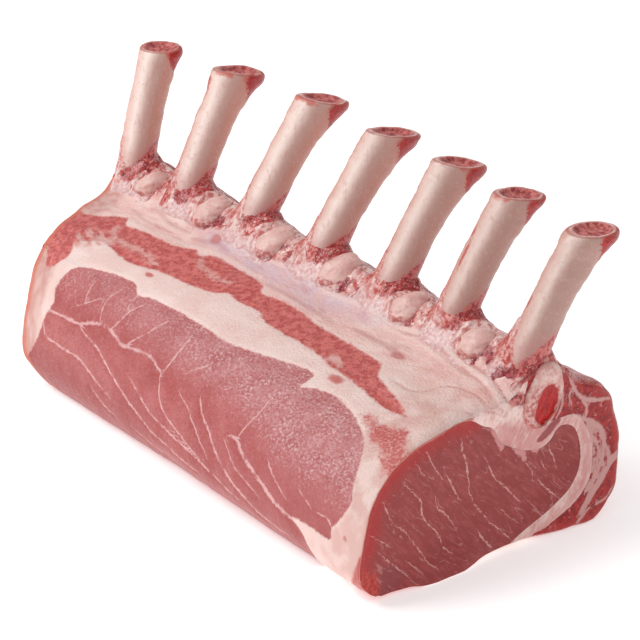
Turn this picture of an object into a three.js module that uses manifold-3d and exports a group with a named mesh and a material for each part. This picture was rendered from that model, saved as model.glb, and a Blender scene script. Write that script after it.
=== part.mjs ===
// A raw, frenched rack of pork loin: one long D-shaped piece of meat lying on its flat side,
// with seven bare rib bones rising from the ridge along its back. Millimetres, +Z up.
// +X runs along the loin to the clean near cut, +Y from the front of the loin to the rib side.
import * as THREE from 'three';
import { mergeVertices } from 'three/addons/utils/BufferGeometryUtils.js';
import Module from 'manifold-3d';

const wasm = await Module();
wasm.setup();

// ---- driving dimensions -------------------------------------------------------------------
const NEAR_CUT_X = 117;        // plane of the near cut
const NEAR_TOE = { reach: 5, from: 70, to: 104, height: 40 };   // its rear foot spreads out
const FAR_CUT_X = -98;         // far cut, measured at FAR_CUT_Y
const FAR_CUT_Y = 15;
const FAR_CUT_SLANT = 0.3;     // how far the far cut leans away for each mm towards the ribs
const FRONT_TAPER = 15.5;      // how much narrower the far end is, all of it at the front
const TAPER_REACH = 52;        // the part of the width that the taper acts on
const RIDGE_Y = 84;            // line of the ridge that the ribs rise from
const RIDGE_HALF_WIDTH = 13;
const RIDGE_WAVE = 2.6;        // rise of the ridge at each rib, and its dip between two ribs
const SHOULDER_Z = 46;         // above this the skin belongs to the top
const REAR_Y = 116;
const NEAR_RIDGE_DROP = 4.5;   // how far the ridge has come down at the near cut
const NEAR_DROP_LENGTH = 14;
const REAR_SWELL = 1.4;        // low swell of the rib side along the line of each rib
const RIDGE_LAG = 3;           // the ridge stands highest this far past each rib
const FIRST_RIB_X = -111;
const RIB_PITCH = 36.5;
// How far each rib stands off its even place along the loin; there are as many ribs as numbers.
const RIB_DRIFT = [0, -5.5, -4, -1.5, 1, -1.5, -0.5];
const ROOT_Y = 80;
const ROOT_Z = 58;             // how deep the ribs are set into the meat
const BEND = { y: 0.45, z: 0.65 };  // where a rib bends, as shares of its way to the tip
const RIB_HALF_ALONG = 6.5;    // a rib at its narrowest, along the loin and across it
const RIB_HALF_ACROSS = 7.1;
const ROOT_SWELL = 1.6;        // how much stouter a rib is at its root
const MARROW_DEPTH = 1.6;      // hollow in the sawn tip
const MARROW_SHARE = 0.68;     // hollow's width against the tip's
const KNOB_HALF = { along: 7.6, across: 6.2, up: 5.4 };
const KNOB_SEAT = { y: 79, z: 66.5 };
const KNOB_TURN = 28;
const KNOB_SHARE = 0.46;       // a knob's place between its rib and the next
const CUT_ROOT_HALF = { across: 8.2, up: 11.2 };
const CUT_ROOT_LENGTH = 15;
const CUT_ROOT_SEAT = { y: 85.4, z: 54.2 };
const CUT_ROOT_LEAN = 0.22;    // how far its top leans towards the rear
const CAP_DEPTH = 2.1;         // thickness of the dark cap strip inlaid in the fat
const GAP = 0.3;               // clearance between neighbours

const BODY_STATIONS = 27;      // rings along the loin
const LAYER_STATIONS = 9;      // rings of a layer inside it
const BODY_FACETS = 2;         // facets between two outline points
const LAYER_FACETS = 1;
const RIB_RINGS = 6;
const RIB_SIDES = 12;
const KNOB_SIDES = 10;

// ---- outlines across the near cut, [y, z], going round from the front foot -------------------
const bodyOutline = [
  [9, 0], [24, 0], [92, 0], [106, 0], [117, 9], [121, 28], [116, 46], [103, 58], [RIDGE_Y, 70],
  [68, 61], [54, 60], [37, 57.5], [19, 51], [7, 39], [2, 24], [1.5, 9],
];
// The eye of the loin. It passes out through the front and the foot, where the meat is bare.
const eyeOutline = [
  [4, -6], [68, -6], [76, 3.5], [86, 9], [95, 15.5], [101, 22.5], [102, 31], [98, 38.5],
  [91, 38.5], [82, 34], [73, 36], [65, 43], [60, 49], [54, 53.5], [47, 55.3], [37, 54.2],
  [27, 52.4], [14, 51.5], [2, 39], [-4, 24], [-4.5, 8],
];
const FRONT_FAT = 0.14;        // at the near cut the eye's front shrinks in under the fat by this
const FRONT_FAT_START = 0.86;  // share of the length where it begins to shrink
const EYE_MIDDLE = { y: 50, z: 25 };
// Everything behind the pale wall of fat: rib meat, with the roots of the ribs.
const ribSideOutline = [
  [74, -6], [136, -6], [136, 86], [77, 86], [75, 66], [76, 56], [80, 45], [88, 43],
  [99, 43], [106, 36], [108.5, 27.5], [106.5, 18], [101, 11.5], [93, 7.6], [84, 3.5],
];

// ---- the dark cap strip on top: [x, y of its middle, half of its width] ----------------------
const capStrip = [
  [-104, 45, 3], [-82, 47, 10], [-50, 50, 9.5], [-15, 54, 6.5], [20, 50, 7],
  [50, 46, 6.5], [75, 42, 6], [96, 34, 2],
];

// ---- rib tips: shift along the loin, place, tilt of the sawn end and its half widths ---------
const ribTips = [
  { shift: -1, y: 96.5, z: 113.5, tilt: 4, along: 7.6, across: 9 },
  { shift: 6, y: 104.5, z: 113, tilt: 13, along: 8, across: 12 },
  { shift: 8.5, y: 112, z: 112, tilt: 15, along: 8.5, across: 12.5 },
  { shift: 10, y: 111.5, z: 111.2, tilt: 14, along: 7.5, across: 13.5 },
  { shift: 7.5, y: 111, z: 111.1, tilt: 15, along: 8, across: 12.5 },
  { shift: 8, y: 108, z: 110.8, tilt: 11, along: 8, across: 11.5 },
  { shift: 6.5, y: 109, z: 109, tilt: 5, along: 8, across: 11.5 },
];

const { lerp, smoothstep, degToRad } = THREE.MathUtils;
const ribX = (i) => FIRST_RIB_X + i * RIB_PITCH + RIB_DRIFT[i];
const farCutX = (y) => FAR_CUT_X - FAR_CUT_SLANT * (y - FAR_CUT_Y);
const nearCutX = (y, z) => NEAR_CUT_X
  + NEAR_TOE.reach * smoothstep(y, NEAR_TOE.from, NEAR_TOE.to) * (1 - smoothstep(z, 0, NEAR_TOE.height));

// One wave from each rib to the next: 1 at a rib, -1 half way between two.
function ribPhase(x) {
  const next = RIB_DRIFT.findIndex((_, i) => i > 0 && ribX(i) > x);
  const pitch = next < 0 ? RIB_PITCH : ribX(next) - ribX(next - 1);
  const start = ribX(next < 0 ? RIB_DRIFT.length - 1 : next);
  return Math.cos((2 * Math.PI * (x - start)) / pitch);
}

// ---- solids ----------------------------------------------------------------------------------
// Joins rings with the same number of points into a closed solid. Each ring turns
// counter-clockwise when looked at from the side of the last ring; flatten drops a point of an
// end ring onto the plane that its cap is cut up in.
function loft(rings, flatten) {
  const sides = rings[0].length;
  const faces = [];
  for (let start = 0; start < (rings.length - 1) * sides; start += sides) {
    for (let s = 0; s < sides; s++) {
      const a = start + s;
      const b = start + ((s + 1) % sides);
      faces.push(a, b, b + sides, a, b + sides, a + sides);
    }
  }
  const last = (rings.length - 1) * sides;
  for (const [a, b, c] of capTriangles(rings[0].map(flatten))) faces.push(a, c, b);
  for (const [a, b, c] of capTriangles(rings.at(-1).map(flatten))) {
    faces.push(last + a, last + b, last + c);
  }
  const geometry = new THREE.BufferGeometry();
  const positions = rings.flat().flatMap((p) => p.toArray());
  geometry.setAttribute('position', new THREE.Float32BufferAttribute(positions, 3));
  geometry.setIndex(faces);
  return toSolid(geometry);
}

function capTriangles(flat) {
  return THREE.ShapeUtils.triangulateShape(flat, []).map(([a, b, c]) =>
    THREE.ShapeUtils.area([flat[a], flat[b], flat[c]]) > 0 ? [a, b, c] : [a, c, b]);
}

function toSolid(geometry) {
  geometry.deleteAttribute('normal');
  geometry.deleteAttribute('uv');
  const merged = mergeVertices(geometry);
  return new wasm.Manifold(new wasm.Mesh({
    numProp: 3,
    vertProperties: new Float32Array(merged.attributes.position.array),
    triVerts: new Uint32Array(merged.index.array),
  }));
}

function toGeometry(solid) {
  const { vertProperties, triVerts } = solid.getMesh();
  const indexed = new THREE.BufferGeometry();
  indexed.setAttribute('position', new THREE.BufferAttribute(vertProperties, 3));
  indexed.setIndex(new THREE.BufferAttribute(triVerts, 1));
  const geometry = indexed.toNonIndexed();
  geometry.computeVertexNormals();
  return geometry;
}

const acrossTheLoin = (p) => new THREE.Vector2(p.y, p.z);
const fromAbove = (p) => new THREE.Vector2(p.x, p.y);

// ---- the meat --------------------------------------------------------------------------------
// A ring across the loin at share u of its length: the near cut's outline, tapered towards the
// far end and set on the slanted far cut.
function ringAcross(outline, u, facets, shape) {
  const points = outline.map(([y, z]) => new THREE.Vector3(0, y, z));
  const curve = new THREE.CatmullRomCurve3(points, true, 'catmullrom', 0.5);
  const count = outline.length * facets;
  return Array.from({ length: count }, (_, i) => {
    const p = curve.getPoint(i / count);
    p.y += FRONT_TAPER * (1 - u) * (1 - smoothstep(p.y, 0, TAPER_REACH));
    p.x = lerp(farCutX(p.y), nearCutX(p.y, p.z), u);
    if (shape) shape(p, u);
    return p;
  });
}

function ribsShowThrough(p) {
  const ridge = Math.exp(-(((p.y - RIDGE_Y) / RIDGE_HALF_WIDTH) ** 2));
  const drop = smoothstep(p.x, NEAR_CUT_X - NEAR_DROP_LENGTH, NEAR_CUT_X);
  if (p.z > SHOULDER_Z) {
    p.z += ridge * (RIDGE_WAVE * ribPhase(p.x - RIDGE_LAG) * (1 - drop) - NEAR_RIDGE_DROP * drop);
  }
  const rear = smoothstep(p.y, RIDGE_Y, REAR_Y) * smoothstep(p.z, 4, 20);
  p.y += REAR_SWELL * rear * ribPhase(p.x - RIDGE_LAG);
  p.z = Math.max(p.z, 0);
}

function eyeUnderFrontFat(p, u) {
  const front = (1 - smoothstep(p.y, 10, 42)) * smoothstep(u, FRONT_FAT_START, 1);
  p.y = lerp(p.y, EYE_MIDDLE.y, FRONT_FAT * front);
  p.z = lerp(p.z, EYE_MIDDLE.z, FRONT_FAT * front);
}

// The whole loin, or its core when its skin is moved down by a distance.
function body(lowered = 0) {
  const rings = Array.from({ length: BODY_STATIONS }, (_, i) =>
    ringAcross(bodyOutline, i / (BODY_STATIONS - 1), BODY_FACETS, ribsShowThrough));
  for (const p of rings.flat()) p.z -= lowered;
  return loft(rings, acrossTheLoin);
}

// A layer runs a little past both cuts, so that the cuts trim it.
function layer(outline, shape) {
  const past = 0.04;
  const shares = Array.from({ length: LAYER_STATIONS }, (_, i) => i / (LAYER_STATIONS - 1));
  const rings = [-past, ...shares, 1 + past].map((u) =>
    ringAcross(outline, u, LAYER_FACETS, shape));
  return loft(rings, acrossTheLoin);
}

// The same outline, its points moved out by a distance along their normals.
function grown(outline, distance) {
  return outline.map(([y, z], i) => {
    const [py, pz] = outline.at(i - 1);
    const [ny, nz] = outline[(i + 1) % outline.length];
    const length = Math.hypot(ny - py, nz - pz);
    return [y + (distance * (nz - pz)) / length, z - (distance * (ny - py)) / length];
  });
}

// A block standing on the plan of the cap strip, tall enough to pass through the fat.
function capBlock(grow = 0) {
  const edge = (side) => new THREE.SplineCurve(capStrip.map(([x, y, half]) =>
    new THREE.Vector2(x, y + side * (half + grow)))).getPoints(capStrip.length * 2);
  const outline = [...edge(-1), ...edge(1).reverse()];
  const [start, end] = [capStrip[0][0], capStrip.at(-1)[0]];
  for (const p of outline) p.x += grow * (p.x === start ? -1 : p.x === end ? 1 : 0);
  const height = 2 * SHOULDER_Z;
  const geometry = new THREE.ExtrudeGeometry(new THREE.Shape(outline), {
    depth: height, bevelEnabled: false,
  });
  geometry.translate(0, 0, SHOULDER_Z / 2);
  return toSolid(geometry);
}

// ---- the ribs --------------------------------------------------------------------------------
// One rib from its rounded root to its sawn, hollow tip. A socket is the same shape, grown and
// without the hollow.
function rib(i, grow = 0) {
  const tip = ribTips[i];
  const x = ribX(i);
  const root = new THREE.Vector3(x, ROOT_Y, ROOT_Z);
  const end = new THREE.Vector3(x + tip.shift, tip.y, tip.z);
  const bend = new THREE.Vector3(
    x + tip.shift / 2, lerp(ROOT_Y, tip.y, BEND.y), lerp(ROOT_Z, tip.z, BEND.z));
  const axis = new THREE.QuadraticBezierCurve3(root, bend, end);
  const along = new THREE.Vector3(1, 0, 0);

  const ringAt = (t, scale = 1, sink = 0) => {
    const tangent = axis.getTangent(t);
    const lean = Math.atan2(tangent.y, tangent.z);
    const tilt = lerp(lean, degToRad(tip.tilt), t ** 3);
    const across = new THREE.Vector3(0, Math.cos(tilt), -Math.sin(tilt));
    const swell = ROOT_SWELL * (1 - t) ** 4 + grow;
    const halfAlong = (lerp(RIB_HALF_ALONG, tip.along, t ** 4) + swell) * scale;
    const halfAcross = (lerp(RIB_HALF_ACROSS, tip.across, t ** 4) + swell) * scale;
    const centre = axis.getPoint(t).addScaledVector(tangent, -sink);
    return Array.from({ length: RIB_SIDES }, (_, s) => {
      const angle = (2 * Math.PI * s) / RIB_SIDES;
      return centre.clone()
        .addScaledVector(along, halfAlong * Math.cos(angle))
        .addScaledVector(across, halfAcross * Math.sin(angle));
    });
  };

  const rings = [ringAt(0, 0.55, 1.8 + grow), ringAt(0, 0.9, 0.6 + grow)];
  for (let r = 1; r < RIB_RINGS; r++) rings.push(ringAt(r / RIB_RINGS));
  rings.push(ringAt(0.985), ringAt(1, 0.95));
  if (!grow) rings.push(ringAt(1, MARROW_SHARE), ringAt(1, MARROW_SHARE * 0.9, MARROW_DEPTH));
  return loft(rings, fromAbove);
}

// The last rib's sawn root, which shows in the near cut.
function cutRoot(grow = 0) {
  const ringAt = (x, scale) => Array.from({ length: RIB_SIDES }, (_, s) => {
    const angle = (2 * Math.PI * s) / RIB_SIDES;
    const y = (CUT_ROOT_HALF.across * scale + grow) * Math.cos(angle);
    const z = (CUT_ROOT_HALF.up * scale + grow) * Math.sin(angle);
    return new THREE.Vector3(
      x, CUT_ROOT_SEAT.y + y + CUT_ROOT_LEAN * z, CUT_ROOT_SEAT.z + z);
  });
  const start = NEAR_CUT_X - CUT_ROOT_LENGTH - grow;
  return loft([
    ringAt(start, 0.6), ringAt(start + 2, 0.88), ringAt(start + 5, 1),
    ringAt(NEAR_CUT_X + grow * 4, 1),
  ], acrossTheLoin);
}

// A knob of fat on the ridge, between one rib and the next.
function knob(i, grow = 0) {
  const geometry = new THREE.SphereGeometry(1, KNOB_SIDES, KNOB_SIDES / 2 + 1);
  const { along, across, up } = KNOB_HALF;
  geometry.scale(along + grow, across + grow, up + grow);
  geometry.rotateX(degToRad(KNOB_TURN));
  geometry.translate(lerp(ribX(i), ribX(i + 1), KNOB_SHARE), KNOB_SEAT.y, KNOB_SEAT.z);
  return toSolid(geometry);
}

// ---- cutting one piece from another ------------------------------------------------------------
const loin = body();
const eyeRegion = layer(eyeOutline, eyeUnderFrontFat);
const eyeRegionGrown = layer(grown(eyeOutline, GAP), eyeUnderFrontFat);
const ribRegion = layer(ribSideOutline);
const ribRegionGrown = layer(grown(ribSideOutline, GAP));

const ribIndexes = RIB_DRIFT.map((_, i) => i);
const knobIndexes = ribIndexes.slice(0, -1);

// The cutters take their share, and crumbs left loose between two of them go with it.
function cutAll(solid, cutters) {
  const bodies = cutters.reduce((rest, cutter) => rest.subtract(cutter), solid).decompose();
  return bodies.reduce((a, b) => (a.volume() > b.volume() ? a : b));
}

const seats = [...ribIndexes.map((i) => rib(i, GAP)), ...knobIndexes.map((i) => knob(i, GAP))];
const sockets = seats.slice(0, ribIndexes.length);
const capSeat = capBlock(GAP).subtract(body(CAP_DEPTH + GAP));

const eye = loin.intersect(eyeRegion);
const fatLayer = cutAll(loin, [eyeRegionGrown, ribRegionGrown, capSeat, cutRoot(GAP), ...seats]);
const capMuscle = loin.intersect(capBlock()).subtract(body(CAP_DEPTH));
const ribMeat = cutAll(loin.intersect(ribRegion), [cutRoot(GAP), ...seats]);

// ---- the part ----------------------------------------------------------------------------------
const meat = { roughness: 0.38, metalness: 0 };
const materials = {
  lean: new THREE.MeshStandardMaterial({ ...meat, color: 0xb96a69 }),
  darkLean: new THREE.MeshStandardMaterial({ ...meat, color: 0xa85553 }),
  fat: new THREE.MeshStandardMaterial({ ...meat, color: 0xeccfc8 }),
  bone: new THREE.MeshStandardMaterial({ ...meat, color: 0xdcb9ae, roughness: 0.42 }),
};

const group = new THREE.Group();
function place(name, solid, material) {
  const mesh = new THREE.Mesh(toGeometry(solid), material);
  mesh.name = name;
  group.add(mesh);
}

place('loin_eye', eye, materials.lean);
place('fat_layer', fatLayer, materials.fat);
place('cap_muscle', capMuscle, materials.darkLean);
place('rib_meat', ribMeat, materials.darkLean);
for (const i of ribIndexes) place(`rib_${i + 1}`, rib(i), materials.bone);
place('rib_cut_root', cutAll(cutRoot(), sockets), materials.bone);
for (const i of knobIndexes) place(`fat_knob_${i + 1}`, cutAll(knob(i), sockets), materials.fat);

// The origin is the middle of the footprint of the whole part.
const box = new THREE.Box3().setFromObject(group);
const middle = box.getCenter(new THREE.Vector3());
group.position.set(-middle.x, -middle.y, -box.min.z);
group.updateMatrixWorld(true);

export default group;
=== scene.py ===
"""A raw, frenched rack of pork loin: the loin lying on its flat side, seven scraped rib bones
rising from the ridge along its back, and the clean near cut turned to the viewer.

Everything is worked out in millimetres in the loin's own coordinates: +X along the loin to the
near cut, +Y from its front to the rib side, +Z up. A place on the skin is given by how far along
the loin it is and by its girth, which is the distance round the loin from the front foot, up over
the top, down the rib side and back along the underside."""

import math

import bmesh
import bpy
import numpy as np
from mathutils import Euler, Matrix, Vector


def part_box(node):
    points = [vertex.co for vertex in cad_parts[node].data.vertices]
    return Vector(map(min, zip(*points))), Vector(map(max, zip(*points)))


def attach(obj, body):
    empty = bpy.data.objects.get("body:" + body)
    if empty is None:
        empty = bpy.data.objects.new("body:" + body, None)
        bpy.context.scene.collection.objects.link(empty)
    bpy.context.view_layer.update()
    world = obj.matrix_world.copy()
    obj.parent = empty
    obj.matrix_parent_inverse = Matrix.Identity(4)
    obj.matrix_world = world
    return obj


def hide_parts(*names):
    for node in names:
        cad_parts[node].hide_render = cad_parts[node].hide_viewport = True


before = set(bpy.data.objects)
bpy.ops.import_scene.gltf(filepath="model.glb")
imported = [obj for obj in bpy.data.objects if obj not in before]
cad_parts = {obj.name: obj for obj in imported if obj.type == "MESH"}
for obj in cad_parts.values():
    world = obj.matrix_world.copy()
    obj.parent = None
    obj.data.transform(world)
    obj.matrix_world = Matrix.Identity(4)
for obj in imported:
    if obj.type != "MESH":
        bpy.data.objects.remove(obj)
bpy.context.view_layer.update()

# ---- the loin's own coordinates -------------------------------------------------------------
MM = 0.001
NEAR_CUT = 117.0               # plane of the near cut
FAR_CUT = -98.0                # far cut, measured at FAR_CUT_Y
FAR_CUT_Y = 15.0
FAR_CUT_SLANT = 0.3
LOIN_LENGTH = 222              # about how far apart the cuts are
FRONT_TAPER = 15.5             # how much narrower the far end is, all of it at the front
TAPER_REACH = 52.0
RIDGE_Y = 84.0                 # the ridge that the ribs rise from
RIDGE_HALF_WIDTH = 13.0
RIDGE_WAVE = 2.6
RIDGE_DROP = 4.5               # how far the ridge has come down at the near cut
RIDGE_DROP_LENGTH = 14.0
SHOULDER_Z = 46.0
REAR_Y = 116.0
REAR_SWELL = 1.4
RIB_X = [-111.0, -80.0, -42.0, -3.0, 36.0, 70.0, 107.5]
RIB_PITCH = 36.5
RIDGE_LAG = 3.0                # the ridge stands highest this far past each rib

# Where the loin's coordinates lie in the frame: the near cut, the middle of a knob, the floor.
KNOB_MIDDLE_Y = 79.0
low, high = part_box("fat_knob_1")
ORIGIN = np.array([
    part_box("rib_cut_root")[1][0] - NEAR_CUT * MM,
    (low[1] + high[1]) / 2 - KNOB_MIDDLE_Y * MM,
    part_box("loin_eye")[0][2],
])

OUTLINE = [                    # across the near cut, [y, z] from the front foot over the top
    (9, 0), (1.5, 9), (2, 24), (7, 39), (19, 51), (37, 57.5), (54, 60), (68, 61),
    (RIDGE_Y, 70), (103, 58), (116, 46), (121, 28), (117, 9), (106, 0), (92, 0), (24, 0),
]


def smooth(x, start, end):
    """0 before start, 1 after end, with a soft rise between them."""
    t = np.clip((x - start) / (end - start), 0, 1)
    return t * t * (3 - 2 * t)


def bell(distance, reach):
    """1 at no distance, falling off evenly on both sides."""
    return np.exp(-(distance / reach) ** 2)


def mix(a, b, share):
    """a at share 0, b at share 1."""
    share = np.asarray(share)
    if share.ndim and np.ndim(a) > share.ndim:
        share = share[..., None]
    return a + (b - a) * share


def between(stops, at, column=1):
    """What a table of stops says at each place; its first column holds the places."""
    stops = np.asarray(stops, float)
    return np.interp(at, stops[:, 0], stops[:, column])


def spline(points, at, closed=False):
    """A smooth curve through the points; at counts them."""
    points = np.asarray(points, float)
    count = len(points)
    at = np.asarray(at, float)
    start = np.floor(at).astype(int)
    if not closed:
        start = np.clip(start, 0, count - 2)
    t = (at - start)[..., None]
    if closed:
        a, b, c, d = (points[(start + step) % count] for step in (-1, 0, 1, 2))
    else:
        b, c = points[start], points[start + 1]
        a = np.where(start[..., None] > 0, points[np.maximum(start - 1, 0)], 2 * b - c)
        d = np.where(start[..., None] < count - 2, points[np.minimum(start + 2, count - 1)],
                     2 * c - b)
    return 0.5 * (2 * b + (c - a) * t + (2 * a - 5 * b + 4 * c - d) * t ** 2
                  + (3 * b - a - 3 * c + d) * t ** 3)


def lumps(x, y, size, seed):
    """Smooth random height from about -1 to 1 over a plane, with lumps of that size."""
    table = np.random.default_rng(seed).uniform(-1, 1, (61, 67))
    total = 0
    for turn, share in ((0.5, 0.62), (1.7, 0.38)):
        across = (x * math.cos(turn) + y * math.sin(turn)) / size + 500 + seed
        up = (y * math.cos(turn) - x * math.sin(turn)) / size + 500
        column, row = np.floor(across).astype(int), np.floor(up).astype(int)
        s, t = across - column, up - row
        s = s * s * s * (s * (s * 6 - 15) + 10)
        t = t * t * t * (t * (t * 6 - 15) + 10)
        at = lambda i, j: table[(column + i) % 61, (row + j) % 67]
        total = total + share * ((at(0, 0) * (1 - s) + at(1, 0) * s) * (1 - t)
                                 + (at(0, 1) * (1 - s) + at(1, 1) * s) * t)
        size = size * 0.55
    return total * 1.4


# ---- lines and patches on a surface ---------------------------------------------------------
def softened(line, steps=4):
    """The same line as a smooth curve, as many short straight stretches."""
    return spline(line, np.linspace(0, len(line) - 1, (len(line) - 1) * steps + 1))


def to_line(places, line):
    """How far each place is from a line, and its share along the line there."""
    line = np.asarray(line, float)
    best = np.full(len(places), 1e9)
    share = np.zeros(len(places))
    low, high = line.min(0) - 12, line.max(0) + 12
    near = np.flatnonzero(np.all((places > low) & (places < high), axis=1))
    spots = places[near]
    nearest, where = np.full(len(spots), 1e9), np.zeros(len(spots))
    for i, (a, b) in enumerate(zip(line[:-1], line[1:])):
        step = b - a
        t = np.clip(((spots - a) @ step) / max(step @ step, 1e-9), 0, 1)
        d = np.hypot(*(spots - a - t[:, None] * step).T)
        closer = d < nearest
        nearest[closer] = d[closer]
        where[closer] = (i + t[closer]) / (len(line) - 1)
    best[near], share[near] = nearest, where
    return best, share


def in_patch(places, outline):
    """Signed distance to a closed outline: positive inside. Far from it, -12."""
    line = np.asarray(outline, float)
    line = spline(line, np.linspace(0, len(line), len(line) * 3 + 1), closed=True)
    inside = np.zeros(len(places), bool)
    x, y = places.T
    for (ax, ay), (bx, by) in zip(line[:-1], line[1:]):
        crosses = (ay > y) != (by > y)
        if ay != by:
            inside ^= crosses & (x < (bx - ax) * (y - ay) / (by - ay) + ax)
    distance = np.minimum(to_line(places, line)[0], 12)
    return np.where(inside, distance, -distance)


def strokes(places, lines):
    """Positive on thin strokes, as half width less distance; they taper at both ends."""
    best = np.full(len(places), -9.0)
    for line, half in lines:
        distance, share = to_line(places, softened(line))
        best = np.maximum(best, half * taper(share) - distance)
    return best


def taper(share):
    """How wide a stroke is along its length: full in the middle, under half at both ends."""
    return 0.45 + 0.55 * np.sqrt(np.clip(4 * share * (1 - share), 0, 1))


def lines(places, drawn, name):
    """Marks for lines finer than the mesh: how far off the nearest is, on which side, and its
    half width. The side's sign changes on the line itself, so it stays sharp between points."""
    off, side, half = np.full(len(places), 9.0), np.full(len(places), 9.0), np.zeros(len(places))
    for line, own_half in drawn:
        curve = softened(line)
        distance, share = to_line(places, curve)
        closer = distance < off
        at = share[closer] * (len(curve) - 1)
        start = np.minimum(at.astype(int), len(curve) - 2)
        step = curve[start + 1] - curve[start]
        from_start = places[closer] - curve[start]
        left = step[:, 0] * from_start[:, 1] - step[:, 1] * from_start[:, 0] > 0
        off[closer] = distance[closer]
        side[closer] = np.where(left, 1, -1) * distance[closer]
        half[closer] = own_half * taper(share[closer])
    return {f"{name}_off": np.minimum(off, 4), f"{name}_side": np.clip(side, -4, 4),
            f"{name}_half": half}


# ---- the loin's shape -----------------------------------------------------------------------
NEAR_TOE = [                   # how far the foot of the near cut spreads out: y, reach
    (8, 0), (18, .5), (26, 2.4), (34, 3.6), (46, 3.8), (54, 2.2), (62, 1.4), (74, 1.8), (86, 3.2),
    (96, 4.6), (106, 5), (124, 5),
]


def near_cut(y, z):
    """Where the near cut is along the loin; it spreads out towards its foot."""
    height = mix(16, 40, smooth(y, 76, 98))
    return NEAR_CUT + between(NEAR_TOE, y) * (1 - smooth(z, 0, height))


def far_cut(y, z=99.0):
    """Where the far cut is along the loin; low down at the front it rounds in."""
    return FAR_CUT - FAR_CUT_SLANT * (y - FAR_CUT_Y) + 11 * bell(z, 9) * (1 - smooth(y, 25, 60))


def rib_count(x):
    """Counts the ribs along the loin: a whole number at each rib."""
    inner = np.interp(x, RIB_X, np.arange(len(RIB_X)))
    return inner + (np.minimum(x - RIB_X[0], 0) + np.maximum(x - RIB_X[-1], 0)) / RIB_PITCH


def rib_wave(x):
    """1 where the ridge stands highest, a little past each rib, and -1 between two ribs."""
    return np.cos(2 * np.pi * rib_count(x - RIDGE_LAG))


def ridge_rise(x, y):
    """How far the ridge stands above the plain outline; it comes down at the near cut."""
    drop = smooth(x, NEAR_CUT - RIDGE_DROP_LENGTH, NEAR_CUT)
    return bell(y - RIDGE_Y, RIDGE_HALF_WIDTH) * (
        RIDGE_WAVE * rib_wave(x) * (1 - drop) - RIDGE_DROP * drop)


def place(u, yz):
    """A point of a cross-section, moved to share u of the loin's length, far end to near cut."""
    y = yz[..., 0] + FRONT_TAPER * (1 - u) * (1 - smooth(yz[..., 0], 0, TAPER_REACH))
    return np.stack([mix(far_cut(y, yz[..., 1]), near_cut(y, yz[..., 1]), u), y, yz[..., 1]], -1)


FOOT_LIFT = 2.2                # the front foot curls up off the table
NEAR_LIFTS = [(24, 4, .7), (57, 6, .8), (97, 4, .6)]   # under the near end: y, reach, lift


def plain_skin(u, v):
    """The loin without its relief: share u of its length, v counted along the outline."""
    x, y, z = np.moveaxis(place(u, spline(OUTLINE, v, closed=True)), -1, 0)
    z = np.where(z > SHOULDER_Z, z + ridge_rise(x, y), z)
    y = y + REAR_SWELL * smooth(y, RIDGE_Y, REAR_Y) * smooth(z, 4, 20) * rib_wave(x)
    foot = FOOT_LIFT * (1 + 0.35 * np.sin((x + 58) / 27)) * (1 - smooth(y, 4, 30))
    foot = foot + smooth(x, 60, NEAR_CUT) * 1.3 * bell(y - 72, 14)
    for middle, reach, lift in NEAR_LIFTS:
        foot = foot + smooth(x, 96, NEAR_CUT) * lift * bell(y - middle, reach)
    z = z + foot * (1 - smooth(z, 2, 20))
    return np.stack([x, y, np.maximum(z, 0)], -1)


COUNTS = np.linspace(0, len(OUTLINE), 1601)
middle_ring = plain_skin(np.full_like(COUNTS, 0.5), COUNTS)
ring_steps = np.linalg.norm(np.diff(middle_ring[:, 1:], axis=0), axis=1)
GIRTHS = np.concatenate([[0], np.cumsum(ring_steps)])
WHOLE_GIRTH = GIRTHS[-1]


def base_skin(u, girth):
    """The skin without its relief, at share u of the length and that girth."""
    return plain_skin(u, np.interp(girth % WHOLE_GIRTH, GIRTHS, COUNTS))


def base_normal(u, girth):
    """Points out of the skin, by small steps along it and round it."""
    along = base_skin(u + 1e-3, girth) - base_skin(u - 1e-3, girth)
    around = base_skin(u, girth + 0.2) - base_skin(u, girth - 0.2)
    normal = np.cross(along, around)
    return normal / np.maximum(np.linalg.norm(normal, axis=-1, keepdims=True), 1e-9)


# ---- what shows where on the skin, as [along, girth] ----------------------------------------
FRONT_LEAN = [                 # the broad lean front, down to where the fat of the near end starts
    (-112, -90), (-104, -20), (-97, 8), (-93, 17), (-89, 22), (-87, 28), (-84, 36), (-82, 41),
    (-84, 47), (-81, 55), (-76, 59), (-68, 61), (-60, 63.5), (-53, 64.5), (-47, 64.5), (-42, 60.5),
    (-35, 62), (-24, 63), (-4, 63), (12, 62), (28, 64), (42, 66.5), (50, 67.5), (56, 67), (56, 61),
    (61, 63), (72, 64), (84, 62), (94, 58), (100, 53), (104, 42), (106.5, 36), (102, 28), (99, 24),
    (99, 20), (88, 20), (77, 19), (84, 15), (87, 10), (86, 2), (86, -20), (90, -90),
]
RED_CORNER = [                 # raw lean that shows through at the near end of the band of fat
    (86, 63), (94, 64.5), (101, 64.5), (106, 67), (110, 65), (114, 61), (121, 58), (121, 50),
    (114, 50), (108, 55), (100, 57), (92, 61),
]
CAP_STRIP = [                  # the dark strip, from the far end along its top and back below
    (-114, 84), (-102, 85), (-93, 90), (-87, 93.5), (-82, 89.5), (-70, 91), (-56, 91), (-48, 95.5),
    (-43, 93), (-38, 96.5), (-26, 97), (-14, 96), (-6, 94), (-2, 90), (8, 91), (19, 90.5),
    (32, 88), (48, 87), (62, 86), (70, 85), (76, 79), (85, 76), (94, 73.5), (100, 71), (97, 69),
    (84, 70), (72, 72), (58, 73), (46, 75.5), (30, 76), (16, 77), (8, 80.5), (-4, 80), (-10, 81.5),
    (-17, 78), (-30, 76), (-45, 75), (-58, 72), (-68, 73), (-79, 75), (-85, 71), (-90, 68),
    (-86.5, 61), (-93, 51), (-98, 57), (-102, 60), (-114, 62),
]
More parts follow.
